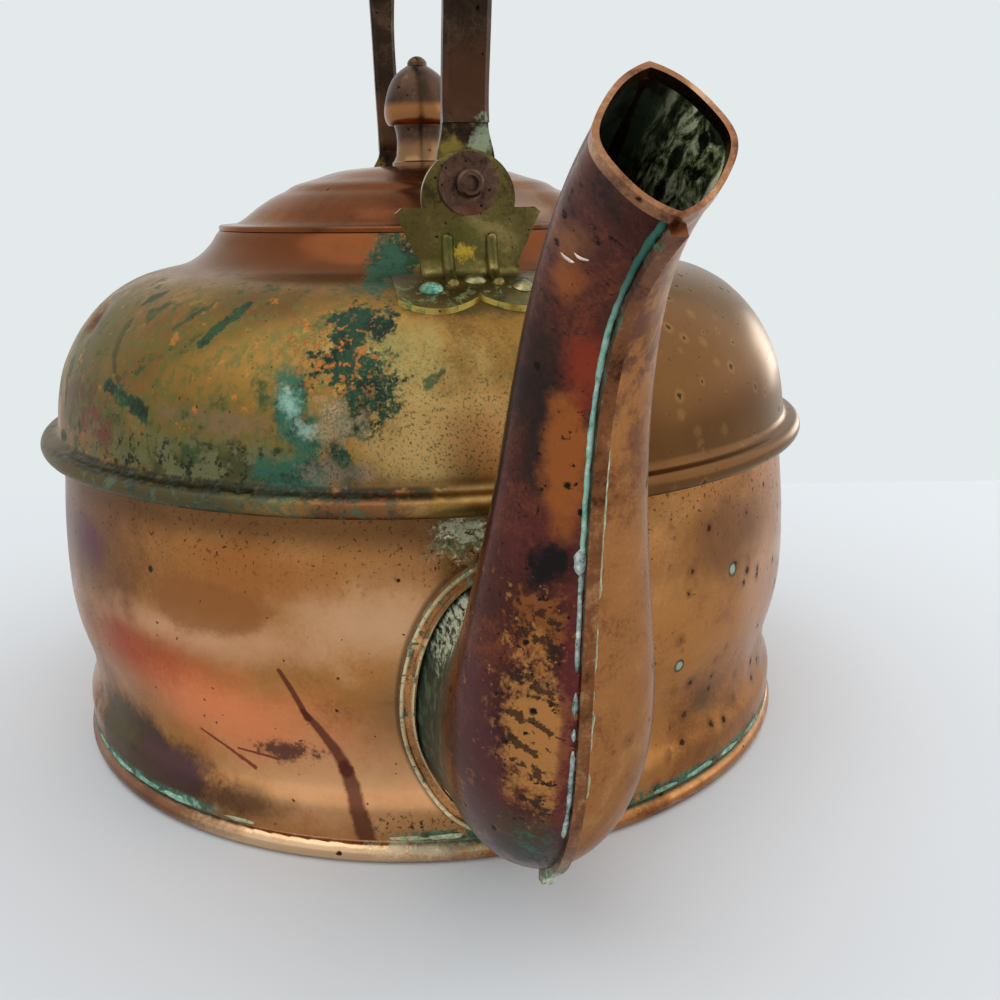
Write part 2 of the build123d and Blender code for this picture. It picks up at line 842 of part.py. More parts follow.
# collar: raised oval band soldered round the root of the spout
collar_skin = turned(under(shifted(body_curve, -collar_height), 60.0, 5.0))
groove_floor = turned(under(shifted(body_curve, collar_groove - collar_height), 60.0, 5.0))
collar_plane = Plane(origin=(95, 0, collar_centre), x_dir=(0, 1, 0), z_dir=(1, 0, 0))


def oval_ring(outside, inside):
    """An oval tube along X, its two walls that far in from the collar's outer edge."""
    outer = Ellipse(collar_half_width - outside, collar_half_height - outside)
    inner = Ellipse(collar_half_width - inside, collar_half_height - inside)
    return collar_plane * extrude(outer - inner, 40)


groove = oval_ring(collar_lip, collar_band - collar_lip) - groove_floor
spout_collar = (oval_ring(0.0, collar_band) & collar_skin) - body_solid - groove
save(spout_collar, "spout_collar")
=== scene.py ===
import math
import random

import bpy
from mathutils import Matrix, Vector, noise
from mathutils.bvhtree import BVHTree


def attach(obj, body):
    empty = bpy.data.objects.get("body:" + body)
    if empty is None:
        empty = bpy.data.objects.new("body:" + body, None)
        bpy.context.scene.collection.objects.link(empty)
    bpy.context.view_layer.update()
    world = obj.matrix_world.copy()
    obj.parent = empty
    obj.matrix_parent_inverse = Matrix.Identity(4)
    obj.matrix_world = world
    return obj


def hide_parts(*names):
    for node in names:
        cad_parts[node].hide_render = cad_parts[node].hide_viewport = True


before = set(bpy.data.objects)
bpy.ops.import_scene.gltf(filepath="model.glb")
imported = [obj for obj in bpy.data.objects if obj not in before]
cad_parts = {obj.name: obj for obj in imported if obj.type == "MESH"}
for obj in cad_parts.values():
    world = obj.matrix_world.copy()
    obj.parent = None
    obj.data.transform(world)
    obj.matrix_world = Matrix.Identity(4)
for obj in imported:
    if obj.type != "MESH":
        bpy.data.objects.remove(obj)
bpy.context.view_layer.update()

mm = 0.001
print("frame loaded")


# Camera, standing where the photograph was taken from
cameraView = {
    "eye": (0.34685, -0.05184, 0.1631),
    "heading": 167.64,  # degrees round the kettle's upright axis
    "lookDown": 15.88,
    "tilt": -0.81,
    "lens": 38.18,
    "sensor": 36.0,
}


def placeCamera(view):
    heading, down, tilt = (math.radians(view[key]) for key in ("heading", "lookDown", "tilt"))
    flat = Vector((math.cos(heading), math.sin(heading), 0))
    forward = flat * math.cos(down) - Vector((0, 0, math.sin(down)))
    level = forward.cross(Vector((0, 0, 1))).normalized()
    above = level.cross(forward)
    right = level * math.cos(tilt) + above * math.sin(tilt)
    up = above * math.cos(tilt) - level * math.sin(tilt)
    camera = bpy.data.objects.new("camera", bpy.data.cameras.new("camera"))
    camera.data.lens = view["lens"]
    camera.data.sensor_width = view["sensor"]
    camera.data.clip_start = 0.01
    turn = Matrix((right, up, -forward)).transposed().to_4x4()
    camera.matrix_world = Matrix.Translation(view["eye"]) @ turn
    bpy.context.scene.collection.objects.link(camera)
    bpy.context.scene.camera = camera
    return flat


lookAlong = placeCamera(cameraView)
print("camera placed")


# Wiring helpers. A Wire is a value on its way through a node tree, so masks and measures are plain sums
class Wire:
    def __init__(self, socket):
        self.socket = socket
        self.tree = socket.id_data
        self.isVector = socket.type in ("VECTOR", "RGBA")

    def __add__(self, other):
        return combine("ADD", self, other)

    def __sub__(self, other):
        return combine("SUBTRACT", self, other)

    def __rsub__(self, other):
        return combine("SUBTRACT", other, self)

    def __mul__(self, other):
        return combine("MULTIPLY", self, other)

    def __truediv__(self, other):
        return combine("DIVIDE", self, other)

    def __rtruediv__(self, other):
        return combine("DIVIDE", other, self)

    __radd__ = __add__


def hue(code):
    parts = [int(code[i:i + 2], 16) / 255 for i in (0, 2, 4)]
    return tuple(c / 12.92 if c <= 0.04045 else ((c + 0.055) / 1.055) ** 2.4 for c in parts) + (1.0,)


def addNode(tree, kind, **settings):
    made = tree.nodes.new("ShaderNode" + kind)
    for key, value in settings.items():
        setattr(made, key, value)
    return made


def feed(socket, value):
    if isinstance(value, Wire):
        value.tree.links.new(value.socket, socket)
    elif isinstance(value, str):
        socket.default_value = hue(value)
    else:
        socket.default_value = value


def treeOf(*values):
    return next(value.tree for value in values if isinstance(value, Wire))


def combine(operation, *values, output=0):
    vector = any(isinstance(value, Wire) and value.isVector for value in values)
    made = addNode(treeOf(*values), "VectorMath" if vector else "Math", operation=operation)
    for socket, value in zip(made.inputs, values):
        feed(socket, (value,) * 3 if vector and isinstance(value, (int, float)) else value)
    return Wire(made.outputs[output])


def measure(operation, *places):
    return combine(operation, *places, output="Value")


def wired(tree, kind, given, output=0, **settings):
    made = addNode(tree, kind, **settings)
    for key, value in given.items():
        feed(made.inputs[key], value)
    return Wire(made.outputs[output])


def turned(vector, angle):
    return wired(vector.tree, "VectorRotate", {"Vector": vector, "Angle": angle}, rotation_type="Z_AXIS")


def component(vector, which):
    return wired(vector.tree, "SeparateXYZ", {0: vector}, which)


def join(*values):
    return wired(treeOf(*values), "CombineXYZ", dict(enumerate(values)))


def mixColour(mask, under, over):
    return wired(mask.tree, "Mix", {0: mask, 6: under, 7: over}, 2, data_type="RGBA")


def mixValue(mask, under, over):
    return wired(mask.tree, "Mix", {0: mask, 2: under, 3: over}, data_type="FLOAT")


def ramp(value, low, high, start=0.0, end=1.0):
    given = dict(enumerate((value, low, high, start, end)))
    return wired(value.tree, "MapRange", given, interpolation_type="SMOOTHSTEP")


def band(value, low, high, soft=1.0):
    return ramp(value, low - soft, low + soft) * ramp(value, high - soft, high + soft, 1.0, 0.0)


def cloud(place, scale, detail=4.0, rough=0.55, bend=0.0, output=0):
    given = {"Vector": place, "Scale": scale, "Detail": detail, "Roughness": rough, "Distortion": bend}
    return wired(place.tree, "TexNoise", given, output)


def newGroup(name, takes, gives):
    tree = bpy.data.node_groups.new(name, "ShaderNodeTree")
    for way, sockets in (("INPUT", takes), ("OUTPUT", gives)):
        for kind, labels in sockets.items():
            for label in labels.split():
                tree.interface.new_socket(label, in_out=way, socket_type="NodeSocket" + kind)
    entry = tree.nodes.new("NodeGroupInput").outputs
    leave = tree.nodes.new("NodeGroupOutput").inputs
    return tree, {socket.name: Wire(socket) for socket in entry if socket.name}, leave


def useGroup(tree, group, **values):
    made = tree.nodes.new("ShaderNodeGroup")
    made.node_tree = group
    for label, value in values.items():
        feed(made.inputs[label], value)
    return {socket.name: Wire(socket) for socket in made.outputs}


# Degrees round the kettle, height and distance from its axis, out of a place in millimetres.
# Wall is the same wall unrolled: two millimetres to the degree
def buildAround():
    tree, entry, leave = newGroup("around kettle", {"Vector": "Place"}, {"Vector": "Around Wall"})
    x, y, z = (component(entry["Place"], which) for which in range(3))
    angle = combine("ARCTAN2", y, x) * math.degrees(1)
    feed(leave["Around"], join(angle, z, combine("SQRT", x * x + y * y)))
    feed(leave["Wall"], join(angle * 2.0, z, 0.0))
    return tree


# An oval patch with a ragged border, for stains and for painted light and shade alike. Rim is the tide line along
# that border
def buildOvalPatch():
    takes = {"Vector": "Where Centre Reach", "Float": "Turn Noise Ragged Speckle Mottle Soft"}
    tree, entry, leave = newGroup("ovalPatch", takes, {"Float": "Mask Rim"})
    length = measure("LENGTH", turned(entry["Where"] - entry["Centre"], entry["Turn"]) / entry["Reach"])
    ragged = (entry["Noise"] - 0.5) * entry["Ragged"] * 4.0
    edge = length + ragged + (entry["Speckle"] - 0.5) * entry["Mottle"]
    inner = 1.0 - entry["Soft"]
    feed(leave["Mask"], ramp(edge, inner, 1.0 + entry["Soft"] * 0.4, 1.0, 0.0))
    feed(leave["Rim"], ramp(edge, inner, 1.0) * ramp(edge, 1.0, 1.0 + entry["Soft"], 1.0, 0.0))
    return tree


# A run or streak from one place to another, bowed sideways and wider at one end
def buildStreak():
    takes = {"Vector": "Where From To", "Float": "Bow Start End Noise Ragged"}
    tree, entry, leave = newGroup("streak", takes, {"Float": "Mask"})
    way = entry["To"] - entry["From"]
    gone = entry["Where"] - entry["From"]
    length = measure("LENGTH", way)
    ahead = combine("NORMALIZE", way)
    along = measure("DOT_PRODUCT", gone, ahead)
    share = combine("MINIMUM", combine("MAXIMUM", along / length, 0.0), 1.0)
    beyond = along - share * length
    bow = share * (1.0 - share) * 4.0 * entry["Bow"]
    side = measure("DOT_PRODUCT", gone, turned(ahead, math.pi / 2)) - bow
    off = combine("SQRT", side * side + beyond * beyond)
    wander = (entry["Noise"] - 0.5) * entry["Ragged"] * 4.0
    edge = off / mixValue(share, entry["Start"], entry["End"]) + wander
    feed(leave["Mask"], ramp(edge, 0.55, 1.1, 1.0, 0.0))
    return tree


# Three tones of patina, in clouds of the given size with a fine grain over them
def buildPatina():
    takes = {"Vector": "Place", "Float": "Size Grain", "Color": "Deep Middle Pale"}
    tree, entry, leave = newGroup("patina", takes, {"Color": "Colour", "Float": "Worn"})
    broad = cloud(entry["Place"], 1.0 / entry["Size"], 7, 0.62, 0.6)
    wearAndHighlight = broad + (cloud(entry["Place"], 1.1, 4, 0.75) - 0.5) * entry["Grain"]
    lower = mixColour(ramp(wearAndHighlight, 0.3, 0.5), entry["Deep"], entry["Middle"])
    feed(leave["Colour"], mixColour(ramp(wearAndHighlight, 0.5, 0.72), lower, entry["Pale"]))
    feed(leave["Worn"], wearAndHighlight)
    return tree


# Small round pits, each with a faint halo
def buildPits():
    takes = {"Vector": "Place", "Float": "Spacing Size Share"}
    tree, entry, leave = newGroup("pits", takes, {"Float": "Mask Halo"})
    wobble = cloud(entry["Place"], 0.9, 2.0, 0.5, output="Color") * 1.3
    cells = addNode(tree, "TexVoronoi")
    feed(cells.inputs["Vector"], entry["Place"] + wobble)
    feed(cells.inputs["Scale"], 1.0 / entry["Spacing"])
    draw = addNode(tree, "SeparateColor")
    feed(draw.inputs[0], Wire(cells.outputs["Color"]))
    kept = combine("LESS_THAN", Wire(draw.outputs[0]), entry["Share"])
    size = entry["Size"] * ramp(Wire(draw.outputs[1]), 0.0, 1.0, 0.35, 1.4)
    far = Wire(cells.outputs["Distance"])
    feed(leave["Mask"], ramp(far, size * 0.5, size, 1.0, 0.0) * kept)
    feed(leave["Halo"], ramp(far, size, size * 2.2, 1.0, 0.0) * kept)
    return tree


# Verdigris: crumbly cover, mostly deep, with paler bloom where it lies thickest
def buildVerdigris():
    takes = {"Vector": "Place", "Float": "Amount Grain Bloom", "Color": "Deep Middle Pale"}
    tree, entry, leave = newGroup("verdigris", takes, {"Float": "Mask", "Color": "Colour"})
    place = entry["Place"]
    low = 0.28 + (1.0 - entry["Amount"]) * 0.42
    feed(leave["Mask"], ramp(cloud(place, entry["Grain"], 8, 0.7, 0.4), low, low + 0.1))
    tone = cloud(place, 0.16, 3, 0.5) * 0.55 + cloud(place, 0.9, 5, 0.75) * 0.45
    lower = mixColour(ramp(tone, 0.4, 0.54), entry["Deep"], entry["Middle"])
    high = 0.74 - entry["Bloom"] * 0.28
    feed(leave["Colour"], mixColour(ramp(tone, high, high + 0.1), lower, entry["Pale"]))
    return tree


# Soft waves left by the hammer and fine rubbing marks, in millimetres of height
def buildHandWork():
    tree, entry, leave = newGroup("hand work", {"Vector": "Place", "Float": "Waves Rub"}, {"Float": "Height"})
    waves = cloud(entry["Place"], 0.045, 2, 0.4) * entry["Waves"]
    rubbed = cloud(entry["Place"] * (0.15, 0.15, 2.6), 1.0, 5, 0.7) * entry["Rub"]
    feed(leave["Height"], waves + rubbed)
    return tree


aroundGroup = buildAround()
ovalPatchGroup = buildOvalPatch()
streakGroup = buildStreak()
patinaGroup = buildPatina()
pitGroup = buildPits()
verdigrisGroup = buildVerdigris()
handWorkGroup = buildHandWork()
print("shared node groups built")


# A coat of paint, as a dictionary, grows in layers: each one goes over what is there already
def startFinish(name, deep, middle, pale, size=30.0, grain=0.25, rough=(0.24, 0.4), waves=0.05, rub=0.004):
    material = bpy.data.materials.new(name)
    material.use_nodes = True
    tree = material.node_tree
    tree.nodes.clear()
    spots = addNode(tree, "TexCoord").outputs
    place = Wire(spots["Object"]) * (1 / mm)
    base = useGroup(tree, patinaGroup, Place=place, Size=size, Deep=deep, Middle=middle, Pale=pale, Grain=grain)
    around = useGroup(tree, aroundGroup, Place=place)
    return {
        "material": material, "tree": tree, "place": place, "facing": Wire(spots["Normal"]),
        "around": around["Around"], "wall": around["Wall"], "noises": {},
        "colour": base["Colour"], "rough": ramp(base["Worn"], 0.3, 0.7, rough[1], rough[0]), "metal": 1.0,
        "height": useGroup(tree, handWorkGroup, Place=place, Waves=waves, Rub=rub)["Height"],
    }


def grainOf(coat, grain):
    if grain not in coat["noises"]:
        coat["noises"][grain] = cloud(coat["place"], grain, 6, 0.64)
    return coat["noises"][grain]


def lay(coat, mask, colour=None, rough=None, metal=None, lift=None):
    if colour is not None:
        coat["colour"] = mixColour(mask, coat["colour"], colour)
    for key, value in (("rough", rough), ("metal", metal)):
        if value is not None:
            coat[key] = mixValue(mask, coat[key], value)
    if lift is not None:
        coat["height"] += mask * lift


speckleGrain = 0.8


# A centre of two numbers is degrees and height on the kettle's wall, one of three a place in millimetres
def ovalPatch(coat, centre, reach, ragged=0.3, grain=0.1, soft=0.3, turn=0.0, mottle=0.4, output="Mask"):
    onWall = len(centre) == 2
    return useGroup(
        coat["tree"], ovalPatchGroup, Where=coat["around" if onWall else "place"],
        Centre=(*centre, 0) if onWall else centre, Reach=(*reach, 1000) if onWall else reach,
        Turn=math.radians(turn), Noise=grainOf(coat, grain), Ragged=ragged,
        Speckle=grainOf(coat, speckleGrain), Mottle=mottle, Soft=soft)[output]


# Each row: colour, strength, roughness, centre, reach, raggedness, grain, softness, turn in degrees, mottle
def layStainsAndPaintedLight(coat, patchRows):
    for colour, strength, rough, *spot in patchRows:
        lay(coat, ovalPatch(coat, *spot) * strength, colour, rough)


# Across is the wall's millimetres to the unit of the places' first number
def streak(coat, start, end, widths, bow=0.0, ragged=0.3, grain=0.3, across=2):
    return useGroup(
        coat["tree"], streakGroup, Where=coat["wall"], From=(start[0] * across, start[1], 0),
        To=(end[0] * across, end[1], 0), Bow=bow, Start=widths[0], End=widths[1],
        Noise=grainOf(coat, grain), Ragged=ragged)["Mask"]


# Scraps of a colour where the noise of the given grain is high, inside a mask
def layScraps(coat, within, grain, low, high, colour, rough=None, metal=None, lift=None):
    lay(coat, ramp(grainOf(coat, grain), low, high) * within, colour, rough, metal, lift)


def layPits(coat, spacing, size, share, colour, depth=-0.05, within=1.0, halo=None):
    marks = useGroup(coat["tree"], pitGroup, Place=coat["place"], Spacing=spacing, Size=size, Share=share)
    if halo is not None:
        lay(coat, marks["Halo"] * within * 0.5, halo)
    lay(coat, marks["Mask"] * within, colour, 0.6, lift=depth)


def layVerdigris(coat, within, amount=0.6, grain=0.35, bloom=0.5, tones=("1e3a2c", "3a6a50", "8fbba6"), thick=0.05,
                 metal=0.25):
    crust = useGroup(coat["tree"], verdigrisGroup, Place=coat["place"], Amount=amount, Grain=grain, Bloom=bloom,
                     Deep=tones[0], Middle=tones[1], Pale=tones[2])
    lay(coat, crust["Mask"] * within, crust["Colour"], 0.62, metal, thick)


def part(coat, which, vector="around"):
    return component(coat[vector], which)


def heightBand(coat, low, high, soft=1.0):
    return band(part(coat, 1), low, high, soft)


def angleBand(coat, low, high, soft=5.0):
    return band(part(coat, 0), low, high, soft)


sheenRough = 0.22


# Edge is what the metal turns to at a glance, sheen the film that pales it towards its outline
def closeFinish(coat, edge="ffffff", sheen=0.0):
    tree = coat["tree"]
    bump = wired(tree, "Bump", {"Distance": mm, "Height": coat["height"]})
    shader = wired(tree, "BsdfPrincipled", {
        "Base Color": coat["colour"], "Roughness": coat["rough"], "Metallic": coat["metal"],
        "Specular Tint": edge, "Coat Weight": sheen, "Coat Roughness": sheenRough, "Normal": bump})
    feed(addNode(tree, "OutputMaterial").inputs["Surface"], shader)
    return coat["material"]


def dress(material, *nodeNames):
    for name in nodeNames:
        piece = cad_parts[name]
        piece.data.materials.clear()
        piece.data.materials.append(material)


# The oval where the spout meets the wall: pale lips with an orange hollow between them, as shares of its reach
collarShape = {"centre": 44.6, "halfWidth": 26.5, "halfHeight": 37.2, "lips": [(0.975, 1.01), (0.862, 0.89)]}


def rootRing(coat, shape):
    flat = (coat["place"] - (0, 0, shape["centre"])) * (0, 1 / shape["halfWidth"], 1 / shape["halfHeight"])
    return measure("LENGTH", flat)


# Lower body: golden pink copper, bright on the left from stains and painted reflections, pitted on the right
bodyStainsAndReflections = [
    # painted reflection: darker far left of the body, where the copper faces a dark room
    ("4e2c14", 0.9, 0.3, (-66, 74), (24, 22), 0.3, 0.05, 0.9),
    ("9c5c2c", 0.7, 0.28, (-31, 77), (13, 9), 0.4, 0.08, 0.7),
    # painted reflection: pale sheen on the front left of the body
    ("d0a27a", 0.8, 0.2, (-15, 66), (15, 11), 0.4, 0.06, 0.9),
    ("8c6240", 0.6, 0.26, (-6, 82), (14, 9), 0.4, 0.08, 0.9),
    ("d09a72", 0.85, 0.22, (-40, 58.5), (21, 7), 0.35, 0.09, 0.8, -3),
    ("925a30", 0.8, 0.3, (-38, 67), (10, 8.5), 0.22, 0.08, 0.3),
    ("9e381a", 0.95, 0.26, (-49, 47), (17, 10), 0.3, 0.05, 0.9, 10),
    ("f8925c", 0.95, 0.22, (-36, 37), (18, 13), 0.3, 0.05, 0.9, 25),
    # painted reflection: pale gold of the floor on the lower front of the body
    ("e0a878", 0.8, 0.2, (-18, 22), (22, 17), 0.4, 0.06, 0.9),
    ("8a6a48", 0.7, 0.25, (-10, 44), (7, 14), 0.4, 0.08, 0.9),
    ("5a2038", 0.9, 0.34, (-63, 75), (6, 7), 0.25, 0.08, 0.9),
    ("3c3026", 0.92, 0.4, (-56, 15), (20, 13), 0.3, 0.07, 0.35, 18),
    ("4a3222", 0.75, 0.36, (-36, 12.5), (9, 5), 0.3, 0.1, 0.8),
    ("5a3a44", 0.6, 0.36, (-48, 17), (9, 6), 0.5, 0.1, 0.7, 18),
    ("5c5638", 0.6, 0.4, (-64, 20), (7, 8), 0.6, 0.12, 0.6),
    ("48282c", 0.85, 0.36, (-28.4, 28.8), (4.8, 3.4), 0.7, 0.2, 0.5, -4, 0.8),
    ("6a4428", 0.75, 0.34, (35, 76), (15, 14), 0.4, 0.06, 0.8, 20),
    ("5a4a30", 0.6, 0.34, (33, 27), (4, 6), 0.4, 0.1, 0.6, 20),
    ("c49a80", 0.5, 0.24, (46, 52), (10, 18), 0.4, 0.08, 0.9),
]
bodyRuns = {
    "colour": "5a2a22",
    "drip": [((-27.8, 53), (-24.8, 40), (0.7, 1.2)), ((-25.2, 42), (-20.6, 25), (1.1, 2.3)),
             ((-20.8, 26), (-18.0, 6), (2.1, 2.9))],
    "scratches": [((-42, 30), (-33.5, 22.5), (0.5, 0.6)), ((-36, 27), (-30, 26), (0.4, 0.5))],
}
bodyPits = {"green": [(25.3, 43, 1.5), (36, 65, 1.7)],
            "dark": [(-46.8, 73.8, 1.0), (-12.6, 77, 0.5), (15, 70, 0.8)]}


def bodyFinish():
    coat = startFinish("body copper", "86552c", "ad743e", "c48d5a", 34, 0.28, (0.17, 0.34), 0.1)
    layStainsAndPaintedLight(coat, bodyStainsAndReflections)
    # painted shade under the brim, across the front and left of the body
    paintedBrimShade = heightBand(coat, 85, 100, 4) * angleBand(coat, -80, 20, 14)
    lay(coat, paintedBrimShade * 0.75, "4e3620", 0.34)
    layScraps(coat, heightBand(coat, 76, 95, 7), 0.8, 0.56, 0.66, "4a3220", 0.4)
    for start, end, widths in bodyRuns["drip"]:
        lay(coat, streak(coat, start, end, widths, 0.5, 0.25) * 0.85, bodyRuns["colour"], 0.36)
    for start, end, widths in bodyRuns["scratches"]:
        lay(coat, streak(coat, start, end, widths, 0.2, 0.5), "8a4430", 0.34)
    rightSide = angleBand(coat, 14, 75, 5)
    layPits(coat, 5.5, 0.2, 0.5, "3c2416", -0.08, rightSide, "6f4628")
    layPits(coat, 9.0, 0.08, 0.3, "4a3020", -0.03, angleBand(coat, -70, 12, 5))
    layPits(coat, 2.6, 0.14, 0.3, "5f3a20", -0.02)
    for angle, height, size in bodyPits["dark"]:
        lay(coat, ovalPatch(coat, (angle, height), (size / 2, size), 0.3, 0.3), "2c2a22", 0.5, lift=-0.1)
    for angle, height, size in bodyPits["green"]:
        spot = ((angle, height), (size / 2, size), 0.2, 0.3, 0.5)
        lay(coat, ovalPatch(coat, *spot, output="Rim"), "33281c", 0.5, lift=-0.12)
        lay(coat, ovalPatch(coat, *spot), "8fa58e", 0.6, 0.3)
    # painted shade: a dark ring round the spout's root where it meets the wall, on the front
    spoutRootShade = band(rootRing(coat, collarShape), 0.9, 1.03, 0.02)
    front = ramp(part(coat, 0, "place"), 60, 80)
    lay(coat, spoutRootShade * front * 0.65, "3a2e20", 0.45)
    specks = heightBand(coat, 8.5, 14, 1.5) * angleBand(coat, -17, -6, 2)
    layScraps(coat, specks, 0.8, 0.54, 0.6, "33301c", 0.45)
    foot = heightBand(coat, 5.5, 9.5, 1.2)
    layVerdigris(coat, foot * angleBand(coat, -85, -40, 5), 0.95, 0.3, 0.7, thick=0.1)
    layVerdigris(coat, foot * angleBand(coat, -14, 60, 4), 0.7, 0.3, 0.5, thick=0.1)
    splash = ovalPatch(coat, (-4.5, 87), (4.2, 6), 0.7, 0.3, 0.5, 30, 1.5)
    layVerdigris(coat, splash, 0.7, 0.6, 0.9, ("3c3a22", "7a8258", "e0e0c4"), 0.08)
    return closeFinish(coat, "f0e8e4", 0.08)


dress(bodyFinish(), "body_shell")


# Shoulder dome: olive and verdigris to the left, golden bronze to the right
domeStainsAndShading = [
    ("6a5a2a", 0.8, 0.36, (-48, 122), (26, 24), 0.5, 0.05, 0.8),
    ("7c4a28", 0.55, 0.36, (-52, 135), (7, 4), 0.6, 0.1, 0.8),
    ("7a4426", 0.5, 0.36, (-50, 122), (6, 5), 0.6, 0.1, 0.8),
    ("4c3428", 0.7, 0.38, (-60, 109), (12, 9), 0.5, 0.1, 0.8),
    ("8f6a30", 0.65, 0.34, (-36, 124), (11, 8), 0.7, 0.12, 0.7, 0, 1.0),
    ("5c3a1c", 0.6, 0.32, (-34, 139), (12, 5), 0.5, 0.08, 0.8),
    ("7c6450", 0.6, 0.38, (-35, 113.5), (11, 3.5), 0.7, 0.15, 0.7, 6, 1.2),
    ("5c6238", 0.75, 0.44, (-40, 104.5), (18, 6), 0.4, 0.09, 0.5),
    ("3a3e26", 0.8, 0.45, (-33, 102), (12, 6), 0.7, 0.12, 0.5),
    ("4a2c26", 0.8, 0.38, (-66, 114), (9, 11), 0.6, 0.09, 0.6),
    ("6e2630", 0.85, 0.34, (-58, 108), (5, 4), 0.5, 0.15, 0.6, 20),
    ("a84a2c", 0.7, 0.34, (-61, 104.5), (3, 1.8), 0.5, 0.2, 0.6),
    ("4c5a34", 0.7, 0.42, (-70, 128), (12, 14), 0.5, 0.09, 0.7),
    ("b8985e", 0.85, 0.3, (-7, 111), (13, 14), 0.45, 0.09, 0.8),
    ("8a8450", 0.6, 0.34, (-13, 128), (9, 9), 0.5, 0.09, 0.8),
    ("c09058", 0.85, 0.4, (0, 109), (8, 11), 0.3, 0.12, 0.8),
    # painted reflection: darker low on the right of the dome, just above the brim
    ("5a3818", 0.7, 0.3, (36, 108), (26, 9), 0.4, 0.07, 0.9),
    # painted shade: dark band in the groove above the brim at the front
    ("5c3c1c", 0.6, 0.34, (-4, 99.5), (26, 2.4), 0.3, 0.15, 0.7),
]
domeGreensAndSheen = {
    "streaks": [((-40.5, 130), (-36.2, 137.6), (1.5, 1.9), 0.5, 0.9),
                ((-47, 133), (-42.7, 138.7), (0.8, 1.1), 0.0, 0.6),
                ((-60, 138), (-57.5, 140), (1.7, 1.4), 0.0, 0.8),
                ((-59, 133), (-54, 120), (1.8, 1.2), -2.0, 0.55),
                ((-56.3, 118.5), (-47, 113), (2.1, 2.6), 0.6, 0.95),
                ((-73, 121), (-71, 111), (2.4, 2.0), 0.0, 0.6), ((-8.5, 122), (-6.5, 125), (1.6, 0.8), 0.0, 0.8)],
    "dark": [((-17.8, 135), (4.8, 4), 0.8, 0.25, 0.3, 0, 1.2), ((-19, 128), (3.4, 7), 0.9, 0.25, 0.3, 0, 1.8),
             ((-15.6, 121.5), (4.2, 7.5), 0.6, 0.2, 0.3, 0, 1.2), ((-17.2, 114), (2.8, 5), 0.6, 0.2, 0.3, 0, 1.2),
             ((-18.4, 105), (1.7, 7.5), 0.5, 0.2, 0.4, -8, 1.0), ((-71.5, 101), (2.6, 2.2), 0.5, 0.25, 0.5),
             ((-13.5, 148), (5.0, 6), 0.6, 0.2, 0.4, 0, 1.0)],
    "teal": [((-25.2, 117), (2.4, 9), 0.45, 0.15, 0.4, -3, 1.0),
             ((-23.2, 111), (3.4, 4.5), 0.45, 0.15, 0.4, 0, 1.0),
             ((-24.8, 102), (5.6, 5.4), 0.5, 0.15, 0.4, 0, 1.0)],
    # painted highlight: pale sheen over the teal patch
    "paintedSheen": [((-25.1, 118), (1.4, 4.4), 0.7, 0.25, 0.9, -10, 2.0),
             ((-22.9, 112.4), (1.3, 2.2), 0.6, 0.25, 0.9, 0, 2.0)],
}


